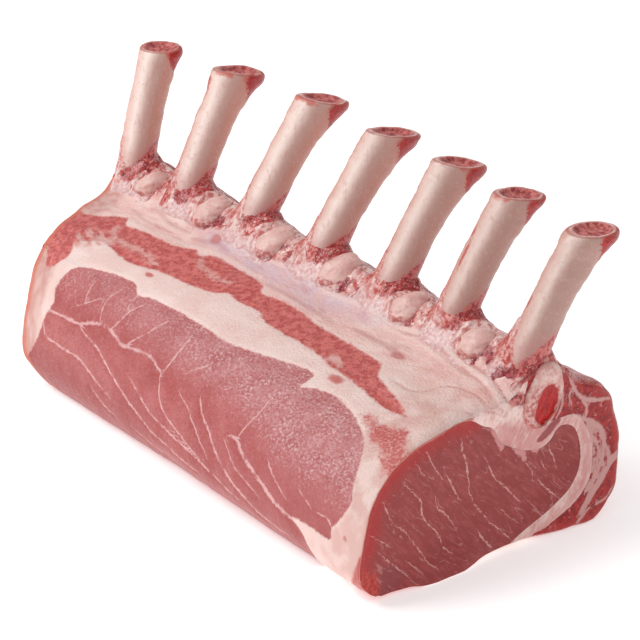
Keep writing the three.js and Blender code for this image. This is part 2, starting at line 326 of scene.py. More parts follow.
CAP_STREAKS = [                # fat between the strands of the strip, with each streak's half width
    ([(-84, 86), (-81, 82), (-76, 80), (-70, 79.8), (-60, 79.5), (-49, 78)], 1.1),
    ([(-41, 94), (-38, 90), (-32, 87), (-25, 86), (-19, 86), (-15, 88)], .8),
]
MOTTLE = [                     # fat and lean broken into each other
    (-93, 77), (-86, 80), (-79, 79), (-74, 76), (-80, 71), (-86, 66), (-91, 68),
]
MOTTLE_NEAR = [(53, 79), (58, 79), (62, 76), (60, 73), (53, 74)]
SILVER_SKIN = [
    (-58, 106), (-44, 110), (-20, 110), (0, 110), (22, 109), (46, 108), (50, 105), (40, 100),
    (24, 96), (6, 96), (-14, 98), (-34, 99), (-50, 101),
]
NEAR_TIP = [(100, -12), (105, -1), (110, 7), (114, 14), (117.5, 22), (124, 22), (124, -14)]
RED_SPOTS = [(65, 69.5, 3.8, 1.8), (-45.5, 71, 2.4, 1.3), (92, 70, 4, 1.0), (86, 71, 3, .9)]
SPOTS = [                      # small mauve spots: along, girth, half length, half width
    (70, 92.8, 3.6, 2.4), (-46, 104.8, 3.4, 2.6),
    (107.5, 24, 1.4, 1.1), (-38.5, 41, 1.2, .7), (101, 70, 2, .6),
]
VEINS = [                      # the pale net on the front, with each vein's half width
    ([(-84, 36.5), (-76, 37.5), (-69, 38), (-63, 38.7), (-57, 41.5), (-51, 43), (-45, 43),
      (-40, 41.8), (-36, 40.6), (-31, 41.4), (-23, 42.4), (-17, 42.4), (-13, 40.5), (-9, 39.6)], .62),
    ([(-64, 38.4), (-56, 36), (-49, 34), (-42, 30.5), (-35, 27), (-28, 23), (-20, 20),
      (-10, 16.7), (2, 14.3), (18, 12)], .40),
    ([(-86, 31), (-84.5, 27), (-82, 26), (-74, 26), (-62, 26), (-54, 24.3), (-46, 21.3),
      (-38, 19)], .42),
    ([(-26, 31), (-19, 27), (-12, 23.5), (-4, 21.5), (8, 19.4), (20, 17.6), (32, 14.8),
      (44, 12)], .36),
    ([(-10, 39), (-8, 34), (-6, 30), (-1, 25.6), (6, 22.7), (14, 20.3), (22, 18)], .36),
    ([(15, 39), (18, 34.5), (24, 30), (27, 27), (31, 23.5), (36, 20.5), (44, 17), (52, 13.7),
      (60, 11), (72, 9.4)], .48),
    ([(36, 33), (40, 33.7), (44, 31), (50, 28), (57, 24.4), (64, 21.2), (72, 19.2), (81, 18)], .75),
    ([(41, 35), (44, 41), (47, 47), (48, 52)], .35),
    ([(34, 30.5), (38, 27), (43, 24), (50, 21), (57, 18.6)], .26),
    ([(59, 34), (63, 30), (67, 27), (73, 24)], .32),
    ([(79, 30), (86, 26.5)], .28),
    ([(90, 26), (96, 26.3), (100, 23.5)], .34),
    ([(2, 37), (9, 33.5), (14, 29.5), (20, 25), (25, 20.8)], .28),
    ([(-52, 43), (-54, 48), (-54, 53), (-51, 59)], .30),
    ([(-65, 46), (-66, 52), (-65, 60)], .24),
    ([(-71, 43), (-64, 47), (-57, 52)], .24),
    ([(-45, 43.5), (-42, 48), (-40, 53), (-36, 58)], .34),
    ([(-42, 53), (-42, 61)], .30),
    ([(-33, 42), (-29, 46), (-24, 51.5), (-20, 57)], .36),
    ([(-9, 40), (-7, 45), (-5.5, 52), (-4, 62.5)], .34),
    ([(2, 44), (7, 48), (12, 52)], .22),
    ([(-50, 18), (-42, 14), (-36, 12)], .26),
    ([(-24, 12), (-14, 9), (-4, 7)], .24),
]
PALE_LINES = [                 # edges of membrane and fat that catch the light
    ([(-87, 94.5), (-80, 92.5), (-68, 93.5), (-56, 95.5), (-44, 98), (-30, 99), (-12, 98.5)], 1.1),
    ([(-36, 109), (-20, 108), (0, 107.5), (20, 107), (40, 106.3), (62, 107), (80, 106.5),
      (96, 104), (108, 101.5), (119, 97)], 1.0),
    ([(42, 104.5), (62, 104), (80, 102), (98, 99)], .5),
]
MAUVE_LINES = [
    ([(-6, 96), (10, 95.5), (24, 94.3), (35, 93)], .8),
    ([(44, 95), (56, 94.8), (70, 94)], 1.4),
    ([(-56, 101), (-44, 103), (-36, 102)], 1.0),
    ([(-92, 100), (-80, 97), (-66, 98)], .5),
    ([(-84, 105), (-72, 102), (-60, 103)], .6),
]
FOLDS = [                      # creased fat near the cut, over the valley; each crease is painted darker as shade
    ([(82, 80.5), (90, 80.5), (95, 84), (97, 89), (101, 92.4), (108, 94), (115, 93.5)], .35),
    ([(114, 83), (117, 86), (121, 87)], .35),
    ([(60, 105.8), (76, 105.3), (90, 103.5), (104, 100.5), (119, 96)], .5),
    ([(66, 108.5), (80, 108.5), (94, 106.5), (108, 103.5), (119, 100.5)], .5),
]


def ellipses(places, spots):
    """1 at the middle of the nearest spot, 0 at its edge and below that outside."""
    best = np.full(len(places), -1.0)
    for x, girth, long, wide in spots:
        off = np.hypot((places[:, 0] - x) / long, (places[:, 1] - girth) / wide)
        best = np.maximum(best, 1 - off)
    return best


def paint(x, girth, u):
    """Everything that the skin's colour and relief follow, for each place on it."""
    places = np.stack([x, np.where(girth > WHOLE_GIRTH / 2 + 90, girth - WHOLE_GIRTH, girth)], 1)
    mottle = np.maximum(in_patch(places, MOTTLE), in_patch(places, MOTTLE_NEAR))
    low = places[:, 1]
    return {
        "lean": in_patch(places, FRONT_LEAN),
        "corner": in_patch(places, RED_CORNER),
        "strip": in_patch(places, CAP_STRIP),
        "streak": strokes(places, CAP_STREAKS),
        "mottle": smooth(mottle, -1.5, 1.5),
        "silver": smooth(in_patch(places, SILVER_SKIN), -5, 4),
        "tip": in_patch(places, NEAR_TIP),
        "spot": ellipses(places, SPOTS),
        "red_spot": ellipses(places, RED_SPOTS),
        "pale": strokes(places, PALE_LINES),
        "mauve": strokes(places, MAUVE_LINES),
        "fold": strokes(places, FOLDS),
        "far": np.clip(u * LOIN_LENGTH, 0, 14),
        "grainy": smooth(low + 11 * smooth(x, 25, 80), 37, 54) * (0.5 + 0.5 * smooth(x, -40, 30)),
        # painted shade: the lean darker low on the front, next to the table
        "low_front_shade": (1 - smooth(low, 10, 30)) * (1 - 0.5 * smooth(x, -50, 20)),
        "top": smooth(low, 80, 94),
        "rear": smooth(girth, 128, 140) * (1 - smooth(girth, 236, 246)),
        "ridge": smooth(girth, 107.5, 110.5) * (1 - smooth(girth, 132, 144)),
        **lines(places, VEINS, "vein"),
    }


EDGE_TURN = [                  # how the skin turns down at a cut: girth, its reach, how far down
    (0, .8, .25), (50, .8, .25), (58, 1.5, .5), (63, 3, 1.0), (68, 4.5, 1.9), (74, 6, 2.6),
    (90, 6.5, 3.0), (98, 6, 2.4), (108, 4, 1.5), (113, 2, 1.2), (240, 1.5, 1.0), (300, .8, .25),
]
RELIEF_LUMPS = ((0.5, 27, 3), (0.28, 10, 5), (0.12, 4.5, 8))   # height, size, seed


def relief(x, girth, z, marks):
    """Height of the skin over its plain shape, in millimetres."""
    height = sum(h * lumps(x, girth, size, seed) for h, size, seed in RELIEF_LUMPS)
    height = height - 0.45 * smooth(marks["lean"], -1.5, 0.8) - 0.3 * smooth(marks["strip"], -0.8, 0.8)
    height = height - 0.2 * smooth(marks["vein_off"], 1.6, 0.2)
    height = height - 0.7 * smooth(marks["fold"], -1.4, 0.3) + 0.4 * smooth(marks["pale"], -1.6, 0.6)
    height = height + marks["ridge"] * (0.7 * lumps(x, girth, 5, 21) + 0.3 * lumps(x, girth, 2.4, 22))
    height = height + marks["rear"] * 0.6 * lumps(x * 0.6, girth, 8, 23)
    height = height - 2.8 * bell(girth - 147, 12) * smooth(x, 50, NEAR_CUT)
    return height * smooth(z, 0.2, 4)


FAR_TURN = .3                  # the far cut's edges are sharper


def skin(u, girth, depth=None):
    """The finished skin, with its relief, turned down at both cuts; or a surface under it."""
    base = base_skin(u, girth)
    x, girth = base[:, 0], girth % WHOLE_GIRTH
    height = relief(x, girth, base[:, 2], paint(x, girth, u))
    reach, drop = between(EDGE_TURN, girth), between(EDGE_TURN, girth, 2)
    if depth is None:
        for gap, share in ((1 - u, 1.0), (u, FAR_TURN)):
            inward = np.clip(1 - gap * (NEAR_CUT - far_cut(base[:, 1])) / reach, 0, 1)
            height = height - share * drop * (1 - np.sqrt(1 - inward ** 2))
    else:
        height = height - depth
    point = base + base_normal(u, girth) * height[:, None]
    point[:, 2] = np.maximum(point[:, 2], 0)
    return cut_wave(point, u)


def cut_wave(point, u):
    """A cut face is never quite flat: the last few millimetres lean in and out a little."""
    y, z = point[:, 1], point[:, 2]
    wave = 0.35 * lumps(y, z, 17, 31) - 0.25 + 0.12 * lumps(y, z, 5, 32)
    point = point.copy()
    point[:, 0] += wave * (smooth(u, 0.965, 1) - smooth(1 - u, 0.965, 1))
    return point


# ---- where the layers part, across the loin -------------------------------------------------
FRONT_SEAM = [(0, 58), (0.80, 58), (0.88, 53), (0.93, 45), (0.96, 34), (0.98, 22), (1, 11)]
RIDGE_SEAM = 113.0             # girth where the fat meets the rib side
WALL_FOOT = 245.8              # girth where the wall of fat comes out underneath, and the eye
EYE_FOOT = 255.1
EYE_EDGE = [                   # round the eye: share, y, z, from its foot over the top to its front
    (0, 69, 0), (.02, 82, 6.2), (.04, 90.5, 11.8), (.06, 96.8, 16.5), (.075, 101.3, 22.6),
    (.09, 102.2, 30), (.105, 100, 36.8), (.12, 95, 39.6), (.13, 91.4, 38.4), (.14, 87.5, 34.8),
    (.155, 82, 34.3), (.17, 76, 35.8), (.185, 68.5, 39.6), (.20, 64.4, 43), (.215, 61.5, 48.6),
    (.23, 56.2, 51.6), (.245, 51, 55.1), (.265, 44, 56), (.28, 38, 54.5),
]
FRONT_FROM, FRONT_GIRTH = .28, 75.0      # from there on the eye's edge follows the skin over it
FAT_OVER_EYE = [(11, .5), (50, .6), (58, 1.0), (63, 1.6), (68, 2.7), (75, 3.4)]   # girth, depth
WALL = [                       # the rib side's face of the wall of fat, from the ridge down
    (0, 76, 66), (.06, 75.2, 60), (.12, 75.8, 54), (.18, 78, 48), (.23, 82, 44.4), (.29, 88, 43),
    (.34, 92.6, 43), (.40, 100, 42), (.48, 105, 36.5), (.57, 108, 27.5), (.65, 106, 18),
    (.73, 101, 12), (.81, 94, 8), (.89, 87, 4.5), (1, 79, 0),
]


def along_path(path, share):
    """A point [y, z] on a path of (share, y, z) stops, smoothly."""
    path = np.asarray(path)
    at = np.interp(share, path[:, 0], np.arange(len(path)))
    return spline(path[:, 1:], at)


def off_skin(u, girth, yz):
    """From a point of the plain section to the finished skin at that girth."""
    return skin(u, np.full_like(u, girth)) - place(u, np.tile(yz, (len(u), 1)))


def eye_path(share, u):
    """The eye's hidden surface: its own edge as far as the top, then a little under the skin."""
    path = place(u, along_path(EYE_EDGE, np.minimum(share, FRONT_FROM)))
    start = off_skin(u, EYE_FOOT, [69.0, 0.0])
    path = cut_wave_inside(path + start * (1 - smooth(share, 0, 0.05))[:, None], u)
    seam = front_seam(u)
    front = np.clip((share - FRONT_FROM) / (1 - FRONT_FROM), 0, 1)
    girth = mix(FRONT_GIRTH, seam, front)
    over = skin(u, girth, between(FAT_OVER_EYE, girth) * smooth(girth - seam, 0, 4))
    over = mix(over, skin(u, seam), smooth(share, .985, 1))
    return np.where((share > FRONT_FROM)[:, None], over, path)


def wall_path(share, u):
    """The face where the rib side meets the wall of fat, from the ridge down to its foot."""
    path = place(u, along_path(WALL, share))
    ends = along_path(WALL, np.array([0.0, 1.0]))
    start, end = off_skin(u, RIDGE_SEAM, ends[0]), off_skin(u, WALL_FOOT, ends[1])
    path = path + start * (1 - smooth(share, 0, 0.12))[:, None]
    path = path + end * smooth(share, 0.9, 1)[:, None]
    return cut_wave_inside(path, u)


def cut_wave_inside(path, u):
    """The same wave where a hidden surface meets a cut, so that it closes on the cut's face."""
    flat = np.where(u > 0.5, near_cut(path[:, 1], path[:, 2]), far_cut(path[:, 1], path[:, 2]))
    path = path.copy()
    at_end = (u > 0.9999) | (u < 0.0001)
    path[at_end, 0] = flat[at_end]
    return np.where(at_end[:, None], cut_wave(path, u), path)


def front_seam(u):
    """Girth where the cover of fat starts, for each share of the length."""
    return between(FRONT_SEAM, u)


# ---- pieces of meat -------------------------------------------------------------------------
END_STEPS = (0.0, 0.0012, 0.003, 0.006)
LENGTH_STEPS = 216
FAR_STEPS = 12                 # from the skin to the inside of the far cut
JOIN = 2e-6                    # corners closer than this, in metres, are one
SHARP_TURN = 0.3               # edges between faces turned further apart stay sharp
BULGE = {"eye_of_loin": 0.0, "fat_cover": 0.25, "rib_side": 0.0}   # how far a cut face swells
ALONG = np.concatenate([
    END_STEPS[:-1], np.linspace(END_STEPS[-1], 1 - END_STEPS[-1], LENGTH_STEPS),
    1 - np.array(END_STEPS[:-1])[::-1],
])


def new_mesh(*marks):
    """An empty mesh whose corners can hold those marks."""
    bm = bmesh.new()
    for mark in marks:
        bm.verts.layers.float.new(mark)
    return bm


def grid(bm, columns, rows):
    """Adds a grid of squares: its corners, and the column and row of each."""
    made = bmesh.ops.create_grid(bm, x_segments=columns, y_segments=rows, size=0.5)
    spots = np.array([v.co for v in made["verts"]]) + 0.5
    column, row = (spots[:, :2] * (columns, rows)).round().astype(int).T
    return made["verts"], column, row


def lay(bm, verts, places, marks):
    """Moves corners to places in the loin's coordinates and writes their marks."""
    layers = [bm.verts.layers.float[mark] for mark in marks]
    columns = [np.broadcast_to(values, len(places)).tolist() for values in marks.values()]
    for v, co, *values in zip(verts, (places * MM + ORIGIN).tolist(), *columns):
        v.co = co
        for layer, value in zip(layers, values):
            v[layer] = value


def sheet(bm, across, up, shape, where, slot):
    """Adds a grid, its points put where shape says for each step across and up."""
    verts, column, row = grid(bm, len(across) - 1, len(up) - 1)
    a, b = np.asarray(across)[column], np.asarray(up)[row]
    girth, length = where(a, b)
    lay(bm, verts, shape(a, b), {"girth": girth, "length": length})
    for face in {f for v in verts for f in v.link_faces}:
        face.material_index = slot


def cut_piece(name, outer_girth, outer, inner, across, near_steps):
    """A closed length of the loin: its skin, its hidden inside and its two cut faces."""
    def where(a, u):
        return outer_girth(a, u), u

    def face(a, b, end):
        """A point of the cut face: b goes from the outside to the inside."""
        u = np.full_like(a, end)
        outside, inside = outer(a, u), inner(a, u)
        flat = mix(outside, inside, b)
        flat[:, 0] = (near_cut if end else far_cut)(flat[:, 1], flat[:, 2])
        flat = cut_wave(flat, u)
        flat[:, 0] += (1 if end else -1) * BULGE[name] * smooth(np.minimum(b, 1 - b) * 4, 0, 1)
        return np.where((b == 0)[:, None], outside, np.where((b == 1)[:, None], inside, flat))

    bm = new_mesh("girth", "length")
    sheet(bm, across, ALONG, outer, where, 0)
    sheet(bm, across, ALONG, inner, where, 1)
    for end, steps in ((1.0, near_steps), (0.0, FAR_STEPS)):
        sheet(bm, across, np.linspace(0, 1, steps + 1), lambda a, b: face(a, b, end),
              lambda a, b: where(a, np.full_like(a, end)), 1)
    bmesh.ops.remove_doubles(bm, verts=bm.verts, dist=JOIN)
    bmesh.ops.dissolve_degenerate(bm, edges=bm.edges, dist=1e-7)
    bmesh.ops.recalc_face_normals(bm, faces=bm.faces)
    for edge in bm.edges:
        faces = edge.link_faces
        if len(faces) == 2:
            turned = faces[0].normal.dot(faces[1].normal) < SHARP_TURN
            seam = faces[0].material_index != faces[1].material_index
            edge.smooth = not (turned or seam)
    return finished(name, bm)


def finished(name, bm):
    """The mesh as a smooth-shaded piece in the scene, at the origin."""
    for face in bm.faces:
        face.smooth = True
    mesh = bpy.data.meshes.new(name)
    bm.to_mesh(mesh)
    bm.free()
    piece = bpy.data.objects.new(name, mesh)
    bpy.context.scene.collection.objects.link(piece)
    return piece


def read(piece, name):
    """A mark of every point of a piece."""
    values = np.empty(len(piece.data.vertices))
    piece.data.attributes[name].data.foreach_get("value", values)
    return values


def own_places(piece):
    """The piece's points in the loin's coordinates."""
    places = np.empty(len(piece.data.vertices) * 3)
    piece.data.vertices.foreach_get("co", places)
    return (places.reshape(-1, 3) - ORIGIN) / MM


def write_all(piece, marks):
    """Keeps marks on a piece, under their names, for its finish."""
    for name, values in marks.items():
        attribute = piece.data.attributes.new(name, "FLOAT", "POINT")
        attribute.data.foreach_set("value", np.asarray(values, np.float32))


def paint_skin(piece):
    """Gives each point of a piece the marks of its place on the skin."""
    along = own_places(piece)[:, 0]
    write_all(piece, paint(along, read(piece, "girth") % WHOLE_GIRTH, read(piece, "length")))


def knots(*stops):
    """Steps from 0 to 1: each stop is where a stretch ends and how many steps it has."""
    values, start = [0.0], 0.0
    for end, count in stops:
        values += list(np.linspace(start, end, count + 1)[1:])
        start = end
    return np.array(values)


# eye of the loin: skin from its foot underneath, round the front, up to the fat
EYE_TURN = 0.3                 # share of its skin that lies underneath


def eye_girth(a, u):
    """Girth of the eye's skin, for a from its foot underneath to its top edge."""
    underneath = EYE_FOOT - WHOLE_GIRTH
    return np.where(a < EYE_TURN, underneath * (1 - a / EYE_TURN),
                    front_seam(u) * (a - EYE_TURN) / (1 - EYE_TURN))


eye = cut_piece("eye_of_loin", eye_girth, lambda a, u: skin(u, eye_girth(a, u)), eye_path,
                knots((EYE_TURN, 80), (1.0, 70)), 56)

# cover of fat: skin from the front seam over the top to the ridge, then down inside the wall
FAT_TURN, FAT_FOOT = 0.52, 0.95
EYE_SHARE_OVER = [(FRONT_GIRTH, FRONT_FROM), (89.7, .235), (103.8, .215), (RIDGE_SEAM, .20)]
EYE_SHARE_DOWN = [             # share of the eye's edge next to each share of the wall
    (0, .20), (.10, .185), (.18, .17), (.23, .155), (.29, .14), (.34, .13), (.39, .12), (.45, .105),
    (.53, .09), (.62, .075), (.71, .06), (.80, .04), (.9, .02), (1, .004),
]


def fat_skin_girth(a, u):
    return front_seam(u) + (RIDGE_SEAM - front_seam(u)) * np.clip(a / FAT_TURN, 0, 1)


def fat_girth(a, u):
    foot = WALL_FOOT + (EYE_FOOT - WALL_FOOT) * np.clip((a - FAT_FOOT) / (1 - FAT_FOOT), 0, 1)
    return np.where(a <= FAT_TURN, fat_skin_girth(a, u), foot)


def fat_outer(a, u):
    """The fat's own skin, then the face of its wall, then its foot underneath."""
    outside = skin(u, fat_girth(a, u))
    inside = wall_path(np.clip((a - FAT_TURN) / (FAT_FOOT - FAT_TURN), 0, 1), u)
    in_wall = ((a > FAT_TURN) & (a < FAT_FOOT))[:, None]
    return np.where(in_wall, inside, outside)


def fat_inner(a, u):
    """The eye's own path, run backwards, so that the ladder across the cut doesn't twist."""
    girth = fat_skin_girth(a, u)
    seam = front_seam(u)
    front = 1 - (1 - FRONT_FROM) * (girth - seam) / (FRONT_GIRTH - seam)
    top = between(EYE_SHARE_OVER, girth)
    down = between(EYE_SHARE_DOWN, (a - FAT_TURN) / (FAT_FOOT - FAT_TURN))
    foot = EYE_SHARE_DOWN[-1][1] * (1 - np.clip((a - FAT_FOOT) / (1 - FAT_FOOT), 0, 1))
    share = np.where(girth < FRONT_GIRTH, front, top)
    share = np.where(a > FAT_TURN, down, share)
    return eye_path(np.where(a > FAT_FOOT, foot, share), u)


fat = cut_piece("fat_cover", fat_girth, fat_outer, fat_inner,
                knots((FAT_TURN, 76), (FAT_FOOT, 48), (1.0, 6)), 10)

# rib side: skin from the ridge over the back to the wall's foot, and up the wall inside
RIB_SIDE_GIRTHS = [(0, RIDGE_SEAM), (.3, 140), (.85, 215), (1, WALL_FOOT)]
WALL_SHARES = [                # girth of the rib side, share of the wall inside it
    (RIDGE_SEAM, 0), (124, .1), (148, .3), (166, .45), (185, .57), (205, .7), (219.6, .8),
    (WALL_FOOT, 1),
]


def rib_side_girth(a, u):
    return between(RIB_SIDE_GIRTHS, a)


def rib_side_inner(a, u):
    return wall_path(between(WALL_SHARES, rib_side_girth(a, u)), u)


rib_side = cut_piece("rib_side", rib_side_girth,
                     lambda a, u: skin(u, rib_side_girth(a, u)), rib_side_inner,
                     knots((.3, 40), (.85, 66), (1.0, 12)), 26)

for piece in (eye, fat, rib_side):
    paint_skin(piece)


# ---- the top of the ridge -------------------------------------------------------------------
TOP_COUNTS = (5.2, 10.4)       # the stretch of the outline that the crust lies on
top_outline = spline(OUTLINE, np.linspace(*TOP_COUNTS, 300), closed=True)


def top_height(x, y):
    """Height of the plain skin over a place on top of the loin."""
    return between(top_outline, y) + ridge_rise(x, y)


# ---- ribs -----------------------------------------------------------------------------------
ROOT_Y, ROOT_Z = 80.0, 58.0
RIB_HALF_ALONG, RIB_HALF_ACROSS, ROOT_SWELL = 6.5, 7.1, 1.6
RIB_TIPS = [                   # shift along the loin, y, z, tilt, half width along and across
    (-1, 96.5, 113.5, 4, 7.6, 9), (6, 104.5, 113, 13, 8, 12), (8.5, 112, 112, 15, 8.5, 12.5),
    (10, 111.5, 111.2, 14, 7.5, 13.5), (7.5, 111, 111.1, 15, 8, 12.5), (8, 108, 110.8, 11, 8, 11.5),
    (6.5, 109, 109, 5, 8, 11.5),
]
FOOT_ROWS = [(0, 0, 1.9), (0, .3, 1.8), (0, .62, 1.3), (0, .85, .7), (0, .97, .2)]
SHAFT_ROWS = [(t, 1, 0) for t in np.linspace(0.015, 0.978, 66)]
RIB_ROWS = np.array(           # share of the rib, scale of its ring, how far it is sunk
    FOOT_ROWS + SHAFT_ROWS
    + [(.987, .995, 0), (.995, .98, 0), (1, .95, 0), (1, .90, -.12), (1, .84, -.1), (1, .78, -.02),
       (1, .73, .12), (1, .69, .45), (1, .66, 1.0), (1, .60, 1.45), (1, .48, 1.6), (1, .32, 1.75),
       (1, .16, 1.7), (1, 0, 1.7)]
)
RIB_SHARE, RIB_SCALE, RIB_SINK = RIB_ROWS.T
LAST_RING = len(FOOT_ROWS) + len(SHAFT_ROWS)   # from there on the rows cross the sawn end
RIB_SIDES = 72
RIB_LENGTH = 58                # about how long a rib is, for the lumps along it


def rib_point(i, t, angle, scale, sink=0.0):
    """A point of rib i: share t of its length, turned by angle from the near cut to the rear."""
    shift, tip_y, tip_z, tilt, tip_along, tip_across = RIB_TIPS[i]
    x = RIB_X[i]
    root = np.array([x, ROOT_Y, ROOT_Z])
    end = np.array([x + shift, tip_y, tip_z])
    bend = np.array([x + shift / 2, mix(ROOT_Y, tip_y, 0.45), mix(ROOT_Z, tip_z, 0.65)])
    t = np.asarray(t, float)
    to = t[..., None]
    centre = (1 - to) ** 2 * root + 2 * to * (1 - to) * bend + to ** 2 * end
    tangent = (1 - to) * (bend - root) + to * (end - bend)
    tangent /= np.linalg.norm(tangent, axis=-1, keepdims=True)
    lean = np.arctan2(tangent[..., 1], tangent[..., 2])
    turn = mix(lean, math.radians(tilt), t ** 3)
    across = np.stack([np.zeros_like(turn), np.cos(turn), -np.sin(turn)], -1)
    swell = ROOT_SWELL * (1 - t) ** 4
    half_along = (mix(RIB_HALF_ALONG, tip_along, t ** 4) + swell) * scale
    half_across = (mix(RIB_HALF_ACROSS, tip_across, t ** 4) + swell) * scale
    return (centre - tangent * np.asarray(sink)[..., None]
            + np.stack([half_along * np.cos(angle), 0 * angle, 0 * angle], -1)
            + across * (half_across * np.sin(angle))[..., None])


def degrees_off(angle, degrees):
    """Degrees from one direction round a ring to another, -180 to 180."""
    return (np.degrees(angle) - degrees + 180) % 360 - 180


def towards(angle, degrees, reach):
    """1 where a ring faces that way, falling off over reach degrees."""
    return bell(degrees_off(angle, degrees), reach)


def tube(name, sides, rows, shape, marks):
    """A closed, capped tube: rows of points round an axis, the first and last drawn to a point."""
    bm = new_mesh(*marks)
    verts, column, row = grid(bm, sides, rows - 1)
    angle = 2 * np.pi * (column % sides) / sides
    lay(bm, verts, shape(row, angle), {key: mark(row, angle) for key, mark in marks.items()})
    bmesh.ops.remove_doubles(bm, verts=bm.verts, dist=JOIN)
    bmesh.ops.recalc_face_normals(bm, faces=bm.faces)
    return finished(name, bm)


def ring_lumps(angle, height, size, seed):
    """Lumps round a stem, without a jump where the ring closes."""
    round_x, round_y = 7 * np.cos(angle), 7 * np.sin(angle)
    return 0.5 * lumps(round_x + 3 * height, round_y, size, seed) + 0.5 * lumps(
        height + round_x * 0.4, round_y + seed, size, seed + 50)


TORN_TO = [                    # degrees round the rib, height to which torn meat clings to it
    (0, 5.2), (20, 7.0), (50, 8.6), (90, 7), (135, 6), (180, 10), (205, 15), (230, 19), (243, 14),
    (255, 8), (268, 3), (280, 0), (295, -1.5), (312, -1.0), (325, .8), (342, 3.4), (360, 5.2),
]
RED_RINGS = [.95, .85, .2, .1, .1, .35, .1]    # how much blood is on each sawn ring
STAINS = {                     # blood on each rib: share, degrees, half share, half degrees
    0: [(.86, 238, .07, 16)], 1: [(.86, 246, .13, 22), (.58, 236, .12, 10)], 3: [(.93, 232, .04, 10)],
    4: [(.90, 232, .05, 9), (.60, 236, .06, 7)], 5: [(.50, 258, .14, 9), (.66, 250, .07, 7)],
    6: [(.42, 246, .05, 8)],
}


FOOT_SHIFT = 1.5               # a rib's foot is that far past its place along the loin


def foot_level(i):
    """Height of the ridge where rib i comes out of it."""
    return float(top_height(RIB_X[i] + FOOT_SHIFT, RIDGE_Y))


def rib_piece(i):
    """A scraped rib, sawn off at its tip, with torn meat and blood marked on it."""
    def shape(row, angle):
        t, scale = RIB_SHARE[row], RIB_SCALE[row]
        long = t * RIB_LENGTH
        height = 0.45 * ring_lumps(angle, long, 11, 40 + i) + 0.18 * ring_lumps(angle, long, 4, 60 + i)
        edge = smooth(row, LAST_RING - 3, LAST_RING + 3)
        rounded = 1 - np.sqrt(1 - np.clip((t - .93) / .07, 0, 1) ** 2)
        lip = (.16 * rounded - .09 * bell(t - .93, .05)) * towards(angle, 75, 50) + .04 * rounded
        ragged = edge * 0.5 * ring_lumps(angle, 0 * long, 4, 80 + i)
        floor = smooth(row, LAST_RING + 9, LAST_RING + 11) * 0.3 * lumps(
            scale * 8 * np.cos(angle), scale * 8 * np.sin(angle), 2.2, 90 + i)
        return rib_point(i, t, angle, scale * (1 + height / 8 * (1 - 0.6 * edge)) * (1 - lip),
                         RIB_SINK[row] - ragged - floor)

    def torn(row, angle):
        rise = shape(row, angle)[:, 2] - foot_level(i)
        return between(TORN_TO, np.degrees(angle) % 360) - rise

    def stained(row, angle):
        best = np.full(row.shape, -1.0)
        for at, degrees, half_share, half_degrees in STAINS.get(i, []):
            along = (RIB_SHARE[row] - at) / half_share
            best = np.maximum(best, 1 - np.hypot(along, degrees_off(angle, degrees) / half_degrees))
        return best

    # How a place on the rib faces the front: the bone's painted highlight and painted shade follow it, and
    # so do its blood and torn meat.
    def right(row, angle):
        """1 at its right as the front shows it, -1 at its left; the rear is plain bone."""
        behind = smooth(abs(np.degrees(angle) % 360 - 140), 75, 35)
        return mix(np.cos(angle - math.radians(50)), -.45, behind)

    return tube(f"rib_bone_{i + 1}", RIB_SIDES, len(RIB_ROWS), shape, {
        "stain": stained,
        # painted shade: the ribs nearer the cut are darkened
        "near": lambda row, angle: smooth(i, 2, 6),
        "red_ring": lambda row, angle: RED_RINGS[i],
        "torn": torn,
        "share": lambda row, angle: RIB_SHARE[row],
        "inward": lambda row, angle: np.where(row > LAST_RING, 1 - RIB_SCALE[row], 0),
        "right": right,
        "left": lambda row, angle: towards(angle, 228, 30),
    })


ribs = [rib_piece(i) for i in range(len(RIB_X))]


# ---- meat and membrane round the foot of each rib -------------------------------------------
def rib_middle(i, z):
    """Where a rib's middle is at that height."""
    shares = np.linspace(0, 1, 80)
    middles = rib_point(i, shares, np.zeros(80), scale=0.0)
    return np.interp(z, middles[:, 2], middles[:, 0]), np.interp(z, middles[:, 2], middles[:, 1])


BONE_REACH = 7.3
SKIRT = [                      # degrees from the near cut to the rear, reach of the foot, climb
    (0, 10, 2.6), (30, 11, 3.0), (60, 11, 3.0), (90, 10.5, 3), (135, 10, 4), (180, 10, 7),
    (215, 11.5, 11), (232, 13.5, 12), (250, 16, 10), (262, 17.5, 7.5), (275, 17.5, 5), (290, 16, 3),
    (305, 14.5, 2.0), (320, 12, 1.8), (340, 10.4, 2.2), (360, 10, 2.6),
]
KNOB_SEATS = [(-96, 78.2, 65.2), (-59.8, 79.2, 66.0), (-22.8, 79.2, 66.0), (13.3, 79.6, 66.1),
              (52, 79.2, 65.9), (89.4, 78.2, 65.2)]
KNOB_HALF = (6.5, 8.9, 5.2)
KNOB_SHARES = [(.72, .80), (.92, .98), (.96, 1.04), (1.0, 1.02), (.98, .96), (.94, .88)]
# hollows between the ribs: sunk a little, and painted dark, partly as shade
HOLLOWS = [(-86.5, 75), (-53.5, 74.6), (-14, 75), (24.5, 75), (61, 74.6), (97, 74), (110.5, 70)]
RED_TOPS = [(-81, 73.5), (-34, 76.5), (1, 77.5), (39, 77), (75, 77.5), (108, 76)]
CRUST_FRONT, CRUST_REAR, CRUST_DEPTH = 64.5, 99.0, 5
CRUST_EDGE = 71.8              # where it comes up out of the fat at the front
CRUST_LONG, CRUST_WIDE = 500, 78


def seated(x, y, seats, half_x, half_y):
    """1 at the middle of the nearest seat, falling off over those half widths."""
    off = [np.hypot((x - seat_x) / half_x, (y - seat_y) / half_y) for seat_x, seat_y in seats]
    return bell(np.minimum.reduce(off), 0.9)


